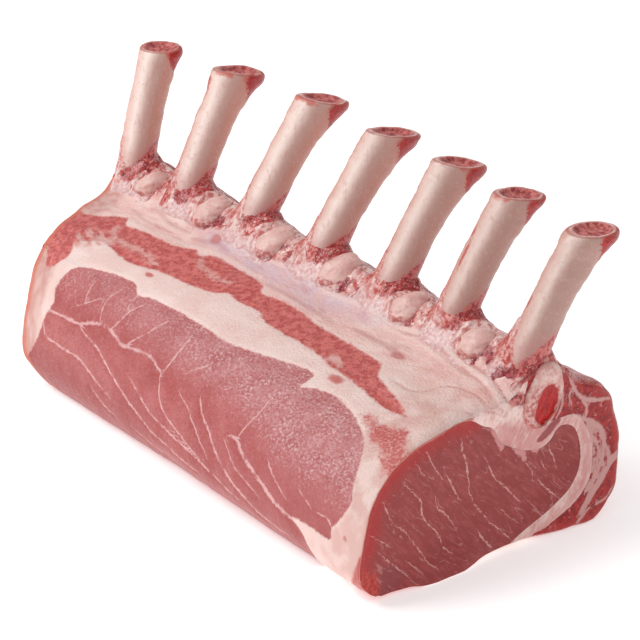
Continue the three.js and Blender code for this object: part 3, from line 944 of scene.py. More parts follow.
def ridge_crust():
    """The torn meat and membrane along the ridge, drawn up round the foot of every rib."""
    bm = new_mesh("raw", "hollow", "edge", "red", "drawn_up")
    verts = grid(bm, CRUST_LONG, CRUST_WIDE)[0]
    spots = np.array([v.co for v in verts]) + 0.5
    y = mix(CRUST_FRONT, CRUST_REAR, spots[:, 1])
    x = mix(far_cut(y) + .5, NEAR_CUT - 1.2, spots[:, 0])
    rim = np.minimum.reduce([smooth(x - far_cut(y), .5, 5), smooth(y, CRUST_FRONT, CRUST_FRONT + 3),
                             smooth(y, CRUST_REAR, CRUST_REAR - 3.5)])
    coarse, middle, fine = lumps(x, y, 6, 141), lumps(x, y, 2.6, 142), lumps(x, y, 1.2, 143)
    front = CRUST_EDGE - 2.4 * sum(bell(x - seat - 4, 7.5) for seat in RIB_X) + 0.9 * middle
    height = -0.9 + 1.7 * smooth(y - front, -1.2, 1.6) * smooth(y, 95, 90)
    raw, red, drawn_up = np.zeros_like(x), np.zeros_like(x), np.zeros_like(x)
    for i in range(len(RIB_X)):
        level = foot_level(i)
        middle_x, middle_y = rib_middle(i, level)
        far_x, far_y = x - middle_x, y - middle_y
        angle, distance = np.arctan2(far_y, far_x), np.hypot(far_x, far_y)
        turn = np.degrees(angle) % 360
        reach = between(SKIRT, turn) + 0.7 * coarse + 0.35 * middle
        climb = between(SKIRT, turn, 2) * (1 + 0.10 * coarse)
        upper_x, upper_y = rib_middle(i, level + climb)
        lean = (upper_x - middle_x) * np.cos(angle) + (upper_y - middle_y) * np.sin(angle)
        near = np.maximum(BONE_REACH - 0.5 + lean, 0.5)
        reach = np.maximum(reach, near + 2.0)
        up = np.clip((reach - distance) / (reach - near), 0, 1)
        skirt = climb * up ** 1.5
        joined = (np.maximum(height, 0) ** 4 + skirt ** 4) ** 0.25 + np.minimum(height, 0)
        height = np.where(skirt > 0.01, joined, height)
        patch = towards(angle, 350, 58) * bell(distance - 8.6, 3.4)
        under = towards(angle, 305, 30) * bell(distance - 9.6, 3.0)
        raw = np.maximum(raw, np.maximum(patch, under))
        drawn_up = np.maximum(drawn_up, smooth(up, .40, .92) * (1 - towards(angle, 340, 75)))
        red = np.maximum(red, .85 * towards(angle, 222, 34) * bell(distance - 9.4, 3.2))
    for seat in KNOB_SEATS:
        gap = np.hypot((x - seat[0]) / KNOB_HALF[0], (y - seat[1] - 1) / KNOB_HALF[1]) - 1
        height = height + 1.1 * bell(gap * 8, 2.0) * smooth(gap, -0.3, 0)
    red = np.maximum(red, smooth(x, 108, 113) * smooth(y, 82, 89))
    red = np.maximum(red, seated(x, y, RED_TOPS, 2.6, 3.2))
    hollow = seated(x, y, HOLLOWS, 4.8, 4.2)
    height = height - 1.6 * hollow + 0.40 * middle + 0.15 * fine
    height = mix(-2.0, height, rim)
    z = top_height(x, y) + height
    edge = smooth(height, 2.0, 0.2) * smooth(y, 80, 72) * smooth(x, 114, 106)
    lay(bm, verts, np.stack([x, y, z], -1),
        {"raw": raw, "hollow": hollow, "edge": edge, "red": red, "drawn_up": drawn_up})
    # closed below by a second, lower sheet, out of sight in the meat
    rim_edges = [edge for edge in bm.edges if edge.is_boundary]
    skirt_out = bmesh.ops.extrude_edge_only(bm, edges=rim_edges)["geom"]
    lower = [v for v in skirt_out if isinstance(v, bmesh.types.BMVert)]
    for v in lower:
        v.co.z -= CRUST_DEPTH * MM
    bmesh.ops.holes_fill(bm, edges=[edge for edge in bm.edges if edge.is_boundary], sides=0)
    bmesh.ops.recalc_face_normals(bm, faces=bm.faces)
    return finished("ridge_crust", bm)


crust = ridge_crust()


# ---- knobs of fat between the ribs ----------------------------------------------------------
def knob_piece(i):
    """An egg of fat lying across the ridge, its blunt end to the front."""
    bm = new_mesh("foot")
    bmesh.ops.create_icosphere(bm, subdivisions=5, radius=1)
    turn = Euler((math.radians(24), 0, math.radians(-10))).to_matrix()
    random = np.random.default_rng(200 + i)
    long, wide = KNOB_HALF[0] * KNOB_SHARES[i][0], KNOB_HALF[1] * KNOB_SHARES[i][1]
    tall = KNOB_HALF[2] * random.uniform(.92, 1.0)
    points = np.array([v.co for v in bm.verts])
    bumps = 0.8 * lumps(points[:, 0] * 6 + 40, points[:, 1] * 6 + points[:, 2] * 4, 5, 210 + i)
    bumps += 0.36 * lumps(points[:, 0] * 6, points[:, 1] * 6 + points[:, 2] * 5, 2, 220 + i)
    scaled = points * np.array([long, wide, tall]) * (1 + bumps[:, None] / 7)
    scaled[:, 0] *= 1 - 0.20 * points[:, 1]
    placed = scaled @ np.array(turn).T
    lay(bm, bm.verts, placed + np.array(KNOB_SEATS[i]), {"foot": smooth(placed[:, 2], 1.6, -1.8)})
    return finished(f"ridge_knob_{i + 1}", bm)


knobs_of_fat = [knob_piece(i) for i in range(len(RIB_X) - 1)]


# ---- root of the last rib, sawn through at the near cut -------------------------------------
ROOT_LAST_RING = 14            # the last row before the lip of the sawn end
CUT_ROOT_SEAT, CUT_ROOT_HALF, CUT_ROOT_LEAN = (84.0, 54.4), (8.6, 11.8), 0.24
MARROW_SHIFT = (1.4, -3.6)     # the marrow sits low in the sawn end, under a thick hood
ROOT_ROWS = np.array(          # how far along the loin, scale of the ring
    [(102, 0), (102, .3), (102.6, .6), (104, .85), (106, .97)]
    + [(x, 1) for x in np.linspace(107.5, 116.6, 10)]
    + [(117.4, .99), (118.0, .965), (118.5, .92), (118.8, .86), (118.7, .79), (118.3, .74),
       (117.9, .70), (117.6, .66), (117.45, .58), (117.5, .45), (117.6, .3), (117.5, .15), (117.5, 0)]
)


def root_inward(row, angle):
    """How far in from its edge a place on the sawn end is; 0 on the shaft."""
    return np.where(row > ROOT_LAST_RING, 1 - ROOT_ROWS[row, 1], 0)


def root_shape(row, angle):
    x, own = ROOT_ROWS[row].T
    scale = own * (1 + 0.05 * ring_lumps(angle, 0 * x, 4, 301))
    inner = smooth(root_inward(row, angle), .02, .30)
    y = CUT_ROOT_HALF[0] * scale * np.cos(angle) * (1 - .16 * inner)
    z = CUT_ROOT_HALF[1] * scale * np.sin(angle) * (1 - .08 * inner)
    x = x + (0.3 * lumps(y, z, 3.5, 305) + 0.15 * lumps(y, z, 1.5, 306)) * smooth(x, 114, 116)
    return np.stack([x, CUT_ROOT_SEAT[0] + y + CUT_ROOT_LEAN * z + MARROW_SHIFT[0] * inner,
                     CUT_ROOT_SEAT[1] + z + MARROW_SHIFT[1] * inner], -1)


cut_root = tube("sawn_rib_root", 64, len(ROOT_ROWS), root_shape, {
    "inward": root_inward,
    "smear": lambda row, angle: towards(angle, 205, 75),
    # painted shade on the marrow under the top of the hood
    "hood_shade": lambda row, angle: towards(angle, 80, 60),
})


# ---- dark strip of cap muscle in the fat ----------------------------------------------------
STRIP_X = [-97, -86, -72, -58, -47, -36, -24, -12, -3, 8, 19, 32, 46, 60, 71, 78, 88, 98]
STRIP_LOWER = [70, 72, 73.3, 72.3, 74.8, 75.7, 77, 81, 80.3, 80.3, 77, 76.2, 75.7, 73.3, 72.3, 71,
               70.2, 70]
STRIP_UPPER = [87.5, 92.8, 90.7, 90.7, 95.2, 96.3, 96.8, 95.7, 90.5, 90.8, 90.3, 87.8, 87, 86, 84.3,
               78.5, 75.5, 71]
STRIP_DEPTH, STRIP_LIFT = 1.6, .10
STRIP_LONG, STRIP_WIDE = 240, 44


def strip_piece():
    """A thin length laid in the fat, standing a hair above the skin so that it shows."""
    def shape(a, b):
        """b goes over the strip from its lower edge to its upper one, and back inside it."""
        lower, upper = (spline(np.stack([STRIP_X, edge], 1), a * (len(STRIP_X) - 1))
                        for edge in (STRIP_LOWER, STRIP_UPPER))
        across = np.where(b > 0.5, 2 - 2 * b, 2 * b)
        x, girth = mix(lower, upper, across).T
        u = (x + 107) / 224
        for _ in range(4):     # closes in on the share of the length that lies at x
            u = u + (x - base_skin(u, girth)[:, 0]) / LOIN_LENGTH
        edge = np.minimum(smooth(across * (1 - across) * 4, 0, .7), smooth(a * (1 - a) * 4, 0, .12))
        lift = mix(-.05, STRIP_LIFT, edge)
        lift = np.where(b > 0.5, mix(-.3, -STRIP_DEPTH, edge), lift)
        return skin(u, girth) + base_normal(u, girth) * lift[:, None], girth, u

    bm = new_mesh("girth", "length")
    verts, column, row = grid(bm, STRIP_LONG, STRIP_WIDE)
    places, girth, length = shape(column / STRIP_LONG, row / STRIP_WIDE)
    lay(bm, verts, places, {"girth": girth, "length": length})
    bmesh.ops.remove_doubles(bm, verts=bm.verts, dist=2 * JOIN)
    bmesh.ops.holes_fill(bm, edges=bm.edges, sides=0)
    bmesh.ops.recalc_face_normals(bm, faces=bm.faces)
    piece = finished("cap_strip", bm)
    paint_skin(piece)
    return piece


strip = strip_piece()


# ---- finishes -------------------------------------------------------------------------------
class Value:
    """A number that a finish works out over the surface; arithmetic on it adds Math nodes."""

    def __init__(self, finish, socket):
        self.finish, self.socket = finish, socket

    def _math(self, operation, *values):
        made = self.finish.node("ShaderNodeMath", {"operation": operation}, dict(enumerate(values)))
        return Value(self.finish, made.outputs[0])

    def __add__(self, other):
        return self._math("ADD", self, other)

    def __sub__(self, other):
        return self._math("SUBTRACT", self, other)

    def __rsub__(self, other):
        return self._math("SUBTRACT", other, self)

    def __mul__(self, other):
        return self._math("MULTIPLY", self, other)

    def __abs__(self):
        return self._math("ABSOLUTE", self)

    def most(self, other):
        return self._math("MAXIMUM", self, other)

    __radd__, __rmul__ = __add__, __mul__


class Finish:
    """A material on one Principled shader, and the few kinds of node that the finishes share."""

    def __init__(self, name, **constants):
        self.material = bpy.data.materials.new(name)
        self.material.use_nodes = True
        self.tree = self.material.node_tree
        self.shader = self.tree.nodes["Principled BSDF"]
        for socket, value in constants.items():
            self.shader.inputs[socket.replace("_", " ")].default_value = value
        self.object = self.node("ShaderNodeTexCoord", {}, {}).outputs["Object"]

    def node(self, kind, settings, sockets):
        """Adds a node with those settings; each socket is joined to a value or set to it."""
        made = self.tree.nodes.new(kind)
        for name, value in settings.items():
            setattr(made, name, value)
        for name, value in sockets.items():
            value = value.socket if isinstance(value, Value) else value
            if isinstance(value, bpy.types.NodeSocket):
                self.tree.links.new(value, made.inputs[name])
            elif value is not None:
                made.inputs[name].default_value = value
        return made

    def mark(self, name):
        settings = {"attribute_type": "GEOMETRY", "attribute_name": name}
        return Value(self, self.node("ShaderNodeAttribute", settings, {}).outputs["Fac"])

    def noise(self, size, detail=3, vector=None):
        """Cloudy noise from 0 to 1 with lumps of that size in millimetres."""
        sockets = {"Vector": vector or self.object, "Scale": 1 / (size * MM), "Detail": detail}
        return Value(self, self.node("ShaderNodeTexNoise", {}, sockets).outputs["Fac"])

    def stray(self, size, reach, detail=3):
        """Noise round 0, to move an edge to and fro."""
        return (self.noise(size, detail) - .5) * reach

    def patches(self, size, start, end, detail=3, vector=None):
        """Soft patches: 0 where noise of that size is at start, 1 where it is at end."""
        return self.step(self.noise(size, detail, vector), start, end)

    def cells(self, size):
        """Distance from the middle of the nearest cell, for cells of that size."""
        sockets = {"Vector": self.object, "Scale": 1 / (size * MM)}
        return Value(self, self.node("ShaderNodeTexVoronoi", {}, sockets).outputs["Distance"])

    def stretched(self, scale, turn=(0, 0, 0)):
        """Object coordinates turned, then squeezed along their axes, for fibres and streaks."""
        turned = self.node("ShaderNodeMapping", {}, {"Vector": self.object, "Rotation": turn})
        sockets = {"Vector": turned.outputs[0], "Scale": scale}
        return self.node("ShaderNodeMapping", {}, sockets).outputs[0]

    def step(self, value, start, end):
        """0 to 1 as the value goes from start to end, softly."""
        settings = {"interpolation_type": "SMOOTHSTEP"}
        sockets = {"Value": value, "From Min": start, "From Max": end}
        return Value(self, self.node("ShaderNodeMapRange", settings, sockets).outputs["Result"])

    def zone(self, mark, start, end, wobble=None):
        """0 to 1 as a mark goes from start to end, with wobble added to it."""
        value = self.mark(mark)
        return self.step(value if wobble is None else value + wobble, start, end)

    def blend(self, share, first, second):
        """One colour turning into another as share goes from 0 to 1."""
        first, second = (
            (*colour, 1.0) if isinstance(colour, tuple) and len(colour) == 3 else colour
            for colour in (first, second))
        made = self.node("ShaderNodeMix", {"data_type": "RGBA"}, {0: share, 6: first, 7: second})
        return made.outputs[2]

    def layers(self, colour, *coats):
        """A colour with others laid over it in turn, each as its share and itself."""
        for share, coat in coats:
            colour = self.blend(share, colour, coat)
        return colour

    def bump(self, height, distance, strength, under=None):
        """Relief that high in millimetres, over the relief under it."""
        sockets = {"Height": height, "Distance": distance * MM, "Strength": strength, "Normal": under}
        return self.node("ShaderNodeBump", {}, sockets).outputs["Normal"]

    def wear(self, colour, roughness, normal):
        """The finished material."""
        for name, value in (("Base Color", colour), ("Roughness", roughness.socket), ("Normal", normal)):
            self.tree.links.new(value, self.shader.inputs[name])
        return self.material


# the darkest lean colour serves both for darker patches of meat and for painted shade low on the front
LEAN, LEAN_LIGHT, LEAN_DARK_AND_SHADE = (.445, .088, .085), (.525, .135, .130), (.355, .060, .057)
# the palest lean colour is painted glints: tiny highlights on the wet meat
LEAN_GLINT, LEAN_MAUVE = (.84, .56, .55), (.58, .215, .22)
STRIP_RED, STRIP_DARK, STRIP_SPECK = (.70, .165, .148), (.50, .075, .070), (.86, .50, .47)
BAND, BAND_PALE, BAND_PINK = (.87, .62, .57), (.90, .68, .63), (.82, .52, .47)
TOP_FAT, TOP_PALE, TOP_PINK = (.90, .59, .54), (.94, .69, .635), (.82, .44, .41)
SILVER, SILVER_BLUE, SILVER_MAUVE = (.79, .52, .51), (.74, .53, .575), (.66, .35, .37)
# the last of these is painted shade for the creases
VEIN, MAUVE, CREASE_SHADE = (.80, .47, .46), (.52, .22, .23), (.60, .27, .24)
EDGE_GLOW = (.66, .17, .11)
RAW, RAW_DARK, RAW_PINK = (.48, .070, .064), (.28, .022, .026), (.66, .23, .21)
EYE_CUT, EYE_CUT_BROWN, EYE_RIM = (.315, .041, .039), (.375, .061, .057), (.435, .022, .022)
MARBLE, STRAND = (.72, .36, .345), (.64, .32, .30)
WALL_FAT = (.65, .265, .25)
# Bone colours; most are painted light and shade round each rib: a pale highlight, shade, a darker right
# side and an orange glow at the right rim.
BONE, BONE_HIGHLIGHT, BONE_SHADE = (.83, .60, .535), (.98, .81, .74), (.60, .38, .33)
BONE_LEFT, BONE_RIGHT_SHADE, BONE_RIM_GLOW = (.70, .40, .34), (.60, .275, .22), (.74, .33, .23)
RING, RING_PINK = (.84, .58, .52), (.72, .34, .30)
WET = {"Coat_Roughness": .22, "Subsurface_Scale": .003, "Subsurface_Weight": .08,
       "Subsurface_Radius": (1.0, .35, .2), "Specular_IOR_Level": .38}


def vein_lines(f, name, soft, wander, full=1.6):
    """1 on the lines that the marks of that name hold, 0 off them."""
    side = f.mark(name + "_side") + (f.noise(1.4) - .5) * wander
    on = f.step(f.mark(name + "_half") * (.25 + full * f.noise(2.0)) - abs(side), -soft, soft)
    return on * f.zone(name + "_off", 1.7, 1.1)


def skin_finish():
    f = Finish("loin_skin", **WET)
    cloud, grain, fine = f.noise(16), f.noise(2.4), f.noise(.8, 2)
    ragged = f.stray(3.0, 1.5) + (fine - .5)
    granules = f.patches(.9, .5, .64)
    specks = f.step(f.cells(1.15), .3, .1) * f.patches(4, .42, .6, 2)
    band = f.layers(
        BAND,
        (f.patches(17, .4, .64), BAND_PALE),
        (f.patches(6, .56, .74, 4) * .5, BAND_PINK),
    )
    streaks = f.noise(3.0, 4, f.stretched((.3, 1, 1), (0, 0, -.25)))
    top = f.layers(
        TOP_FAT,
        (f.patches(12, .4, .64), TOP_PALE),
        (f.step(streaks, .5, .68) * .6, TOP_PINK),
    )

    near_top = f.blend(f.patches(9, .42, .62), (.84, .49, .44), (.93, .65, .6))
    near_fat = f.layers(
        (.74, .455, .405),
        (f.patches(9, .42, .62), (.85, .61, .56)),
        (f.mark("top"), near_top),
    )
    near_share = f.zone("length", .84, .94, (cloud - .5) * .08)
    far_fat = f.blend(f.patches(4, .4, .6, 4, f.stretched((1, 1, .4))), (.62, .28, .24), (.72, .45, .4))
    fat = f.layers(
        band,
        (f.mark("top"), top),
        (near_share, near_fat),
        (f.zone("far", 14, 9, (cloud - .5) * 6) * .85, far_fat),
    )

    silver = f.layers(
        SILVER,
        (f.patches(9, .42, .6), SILVER_BLUE),
        (f.patches(4, .54, .7, 4, f.stretched((.3, 1, 1), (0, 0, .2))) * .6, SILVER_MAUVE),
    )

    threads = f.noise(1.7, 4, f.stretched((.22, 1, 1), (0, 0, .12)))
    crossing = f.noise(1.5, 4, f.stretched((.3, 1, 1), (0, 0, -.5)))
    glint_flecks = f.patches(1.1, .54, .74, 3, f.stretched((.45, 1, 1), (0, .6, .3)))
    near_lean = f.zone("length", .6, .88, (cloud - .5) * .25) * (1 - f.mark("grainy"))
    ripples = f.noise(.95, 3, f.stretched((.7, 1, 1), (0, .6, .3)))
    # how strongly the ripples of the grainy zone get painted light and shade
    painted_ripple_light = f.mark("grainy") * (.55 + .9 * f.patches(9, .4, .62))
    lean = f.layers(
        LEAN,
        (f.step(cloud, .34, .66), LEAN_LIGHT),
        (f.patches(1.3, .5, .72, 3, f.stretched((.25, 1, 1), (0, .5, 0))) * .35, LEAN_DARK_AND_SHADE),
        # painted shade low on the front
        (f.mark("low_front_shade") * .7, LEAN_DARK_AND_SHADE),
        (f.patches(.8, .58, .38, 2) * .45, LEAN_DARK_AND_SHADE),
        (f.mark("grainy") * (.3 + .5 * f.patches(7, .4, .62, 4)), LEAN_MAUVE),
        # painted highlights: pale glints on the wet lean, thickest in its grainy zone
        (glint_flecks * (.11 + .25 * f.mark("grainy")), LEAN_GLINT),
        (f.patches(.7, .46, .7) * (.05 + .27 * f.mark("grainy")), LEAN_GLINT),
        (specks * (.1 + .28 * f.mark("grainy")), LEAN_GLINT),
        (near_lean * .6, (.42, .095, .095)),
        # painted light on the wet ripples: painted shade in their troughs, painted highlights on their
        # crests
        (f.step(ripples, .48, .38) * painted_ripple_light * .36, (.38, .08, .09)),
        (f.step(ripples, .53, .64) * painted_ripple_light * .33, (.88, .64, .655)),
        (vein_lines(f, "vein", .3, 1.5) * f.patches(3.5, .26, .56) * .85, VEIN),
    )

    streak = f.step(f.mark("streak") + f.stray(2.4, 7, 4) + ragged, -1.9, 1.3)
    strip = f.layers(
        STRIP_DARK,
        (f.step(grain, .38, .62), STRIP_RED),
        (granules * .16, STRIP_SPECK),
        (specks * .5, STRIP_SPECK),
        (streak * .7, f.blend(f.step(fine, .42, .58), (.74, .38, .36), BAND_PINK)),
    )
    raw_corner = f.blend(f.patches(1.0, .46, .68, 4) * .72, (.55, .085, .075), (.8, .42, .39))
    broken = f.blend(f.patches(2.6, .4, .6, 5, f.stretched((.4, 1, 1), (0, 0, .3))) * .8, strip, band)
    soft_edge = f.mark("corner") + f.stray(3.2, 8, 4)

    raw = f.blend(f.step(grain, .4, .62), RAW_DARK, RAW)
    rear = f.layers(
        raw,
        (f.patches(16, .46, .6, 4), TOP_PINK),
        (f.patches(5, .6, .7, 4), TOP_FAT),
    )
    ridge = f.layers(
        RAW,
        (f.patches(3.5, .42, .58, 4), TOP_PINK),
        (f.patches(1.6, .52, .64), TOP_PALE),
    )
    near_rear = f.zone("length", .905, .945, f.stray(4, .06, 4))
    near_rear = near_rear * f.mark("ridge").most(f.mark("rear"))
    near_red = f.blend(f.patches(2.2, .44, .62, 4), (.4, .045, .042), (.62, .17, .145))

    colour = f.layers(
        fat,
        (f.mark("silver"), silver),
        (f.step(threads, .54, .7) * f.mark("top") * .4, (.6, .3, .3)),
        (f.step(crossing, .56, .72) * f.mark("top") * .45, (.93, .76, .73)),
        (f.zone("mauve", -1.3, .9, ragged * .6) * .45, MAUVE),
        (f.zone("pale", -1.0, .6, ragged * .4) * .6, BAND_PALE),
        # painted shade along the creases of the fat
        (f.zone("fold", -.5, .3, ragged * .2) * .6, CREASE_SHADE),
        (f.zone("lean", -.45, .45, ragged), lean),
        (f.step(soft_edge, -1.2, 2.2) * .92, raw_corner),
        (f.zone("strip", -.7, .7, ragged * 1.3), strip),
        (f.mark("mottle") * .65, broken),
        (f.zone("spot", -.25, .45, ragged * .2) * .75, (.55, .17, .16)),
        (f.zone("red_spot", -.3, .4, ragged * .35) * .85, (.56, .1, .085)),
        (f.zone("tip", -1.0, .8, ragged), (.56, .115, .1)),
        (f.zone("far", 4.0, 1.4, ragged * .6) * .85, EDGE_GLOW),
        (f.mark("rear"), rear),
        (f.mark("ridge"), ridge),
        (near_rear * .92, near_red),
    )

    rough = .3 + .2 * grain - .12 * f.mark("grainy") - .06 * f.mark("silver")
    meaty = f.zone("lean", -.45, .45).most(f.zone("strip", -.7, .7))
    meaty = meaty.most(f.mark("rear"))
    normal = f.bump(f.noise(2.2), .55, .36 + .24 * meaty)
    normal = f.bump(f.noise(.85, 2), .26, .14 + .26 * meaty + .4 * f.mark("grainy"), normal)
    normal = f.bump(ripples, .6, .95 * f.mark("grainy"), normal)
    return f.wear(colour, rough, normal)


def eye_cut_finish():
    f = Finish("eye_cut", **WET)
    grain = f.noise(2.6)
    along = f.stretched((1, 1, .28), (-.78, 0, 0))
    lobe = f.blend(f.patches(1.2, .4, .62), (.43, .022, .018), (.55, .07, .05))
    marble = vein_lines(f, "marble", .2, 1.9, 1.05) * f.patches(2.2, .3, .58)
    thread = abs(f.noise(5.5, 2, f.stretched((1, 1, .2), (-.78, 0, 0))) - .5)
    thread = f.step(thread, .013, .003) * f.patches(6, .48, .6) * f.zone("rim", 5, 9)
    fleck = f.patches(1.3, .64, .72, 4, f.stretched((1, 1.6, .5), (-.78, 0, 0)))
    colour = f.layers(
        EYE_CUT,
        (f.patches(1.5, .42, .66, 3, along), EYE_CUT_BROWN),
        (f.patches(1.0, .58, .76, 4, along) * .3, (.56, .19, .18)),
        (f.zone("rim", 8.5, .5, f.stray(5, 5)), EYE_RIM),
        (f.zone("rim", 1.8, .2, (grain - .5) * 1.5) * .4, (.46, .06, .048)),
        (f.zone("near_lobe", -1.6, 2.2, f.stray(3.5, 6)), lobe),
        (f.zone("dark_lobe", -1.5, 1.5, (grain - .5) * 3) * .7, (.27, .045, .05)),
        (thread * .34, MARBLE),
        (marble * .92, MARBLE),
        (fleck * .35, (.66, .31, .3)),
        (f.zone("spike", -.5, .5, f.stray(1.6, 2.4)), WALL_FAT),
    )
    normal = f.bump(f.noise(1.2), .3, .5)
    return f.wear(colour, .4 + .2 * grain, normal)


def fat_cut_finish():
    f = Finish("fat_cut", **WET)
    grain = f.noise(1.6)
    strands = f.noise(1.3, 4, f.stretched((1, 1, .35), (.5, 0, 0)))
    colour = f.layers(
        TOP_FAT,
        (f.patches(9, .42, .62), TOP_PALE),
        (f.zone("wall", -2, 3, f.stray(6, 4, 2)) * .8, WALL_FAT),
        # painted shade along the creases of the cut fat
        (f.zone("crease", -.5, .3, (grain - .5) * .5) * .6, CREASE_SHADE),
        (f.step(strands, .54, .68) * .45, (.9, .7, .66)),
        (f.step(strands, .46, .36) * .35, (.56, .2, .19)),
        (f.patches(3.2, .6, .72, 4) * .45, (.62, .21, .2)),
        (f.zone("rim", 3.2, .9, (grain - .5) * 1.2) * .9, (.58, .15, .11)),
        (f.zone("hollow", -.6, 1.2, (grain - .5) * 5), f.blend(f.step(grain, .4, .6), RAW_DARK, RAW_PINK)),
        (f.zone("wedge", -.4, .5, (grain - .5) * 1.5), (.36, .075, .078)),
    )
    return f.wear(colour, .42 + .18 * grain, f.bump(f.noise(1.4), .35, .5))


def rib_cut_finish():
    f = Finish("rib_side_cut", **WET)
    grain, fine = f.noise(2.2), f.noise(.9, 2)
    strand = vein_lines(f, "strand", .45, 1.0)
    colour = f.layers(
        (.27, .006, .008),
        (f.step(grain, .38, .62), (.45, .024, .022)),
        (f.step(f.cells(1.3), .24, .08) * .35, (.7, .34, .31)),
        (f.patches(2.6, .6, .7, 4) * .6, STRAND),
        (f.zone("outer", 4.2, .8, f.stray(5, 3)) * .85, (.49, .045, .04)),
        (f.zone("hollow", -.6, 1.2, (grain - .5) * 4), f.blend(f.step(fine, .4, .6), RAW_DARK, RAW_PINK)),
        (f.zone("web", -1.5, 1.5, (grain - .5) * 4) * f.patches(2.4, .4, .56), STRAND),
        (strand, STRAND),
    )
    normal = f.bump(f.noise(1.3), .4, .6)
    return f.wear(colour, .36 + .2 * grain, f.bump(strand, .5, .4, normal))


def bone_finish():
    f = Finish("rib_bone", **{**WET, "Subsurface_Weight": .04})
    share, right, left, inward = f.mark("share"), f.mark("right"), f.mark("left"), f.mark("inward")
    patchy, fine = f.noise(6), f.noise(1.0)
    streaks = f.noise(1.2, 4, f.stretched((1, 1, .16)))
    # where a place lies in the band of painted light and shade round the rib
    across = right + (patchy - .5) * .25 + (streaks - .5) * .15
    film = left * f.step(share + (patchy - .5) * .3, .52, .18)
    low = f.step(share + (patchy - .5) * .12 - right * .05, .34, .19)
    clot = f.layers(
        (.38, .04, .042),
        (f.patches(1.5, .38, .58), (.66, .17, .155)),
        (f.step(fine, .56, .68) * .5, (.74, .36, .34)),
    )
    torn = f.step(f.mark("torn") + (patchy - .5) * 5 + (fine - .5) * 5, -.4, 1.2)
    skin = f.blend(f.step(fine, .4, .58), (.76, .42, .38), (.56, .13, .115))
    spill = f.step(f.mark("stain") + (fine - .5) + (patchy - .5) * .8, .05, .55)
    stain = f.step(share + (patchy - .5) * .12 + (fine - .5) * .05, .955, .995) * f.step(patchy, .5, .62)
    blood = f.step(share + right * right * .22 + (fine - .5) * .12, .975, 1.015)
    blood = blood * f.step(right + (fine - .5) * .3, .38, .62)
    marrow = f.layers(
        (.37, .05, .05),
        (f.patches(2.0, .38, .6), (.66, .19, .17)),
        (f.step(fine, .56, .7) * .28, (.84, .5, .46)),
    )
    ring = f.layers(
        RING,
        (f.patches(3, .4, .6, 2), RING_PINK),
        (f.mark("red_ring"), f.blend(f.step(fine, .4, .6), (.55, .13, .105), (.74, .32, .28))),
    )
    colour = f.layers(
        # a band of painted light and shade round each rib, by how it faces the front: a pinker left edge,
        # a painted highlight left of the middle, painted shade to the right and a painted glow along the
        # right rim
        BONE_LEFT,
        (f.step(across, -1.0, -.76), BONE),
        (f.step(across, -.8, -.5), BONE_HIGHLIGHT),
        (f.step(across, -.54, .14), BONE_SHADE),
        (f.step(across, .1, .72), BONE_RIGHT_SHADE),
        (f.step(right, .93, 1.0) * .7, BONE_RIM_GLOW),
        # painted shade on the ribs nearer the cut, most on their shaded side
        (f.mark("near") * (.34 + .56 * f.step(across, -.62, .05)), (.5, .29, .245)),
        (f.step(streaks, .56, .74) * .34, (.56, .25, .21)),
        # painted highlights: fine pale sparkles on the wet bone
        (f.step(fine, .54, .72) * .16, (.93, .76, .7)),
        (f.patches(1.6, .55, .7, 4) * .3, (.62, .33, .28)),
        (film * f.step(fine, .36, .56) * .85, (.62, .17, .15)),
        (low * .4, (.56, .21, .2)),
        (torn * f.step(right, -.4, -.1), clot),
        (torn * f.step(right, -.2, -.5) * .8, skin),
        (spill * .8, (.5, .06, .052)),
        (stain * .8, (.62, .13, .1)),
        (blood, f.blend(f.step(fine, .38, .58), (.24, .001, .001), (.52, .006, .004))),
        (f.step(abs(inward - .03) + (fine - .5) * .04, .07, .02) * f.step(share, .985, .995) * .65,
         (.52, .13, .1)),
        (f.step(inward, .06, .12), ring),
        (f.step(inward + (fine - .5) * .12, .15, .24), marrow),
    )
    normal = f.bump(f.noise(2.4), .3, .5)
    normal = f.bump(fine, .14, .4, normal)
    return f.wear(colour, .24 + .2 * patchy, normal)


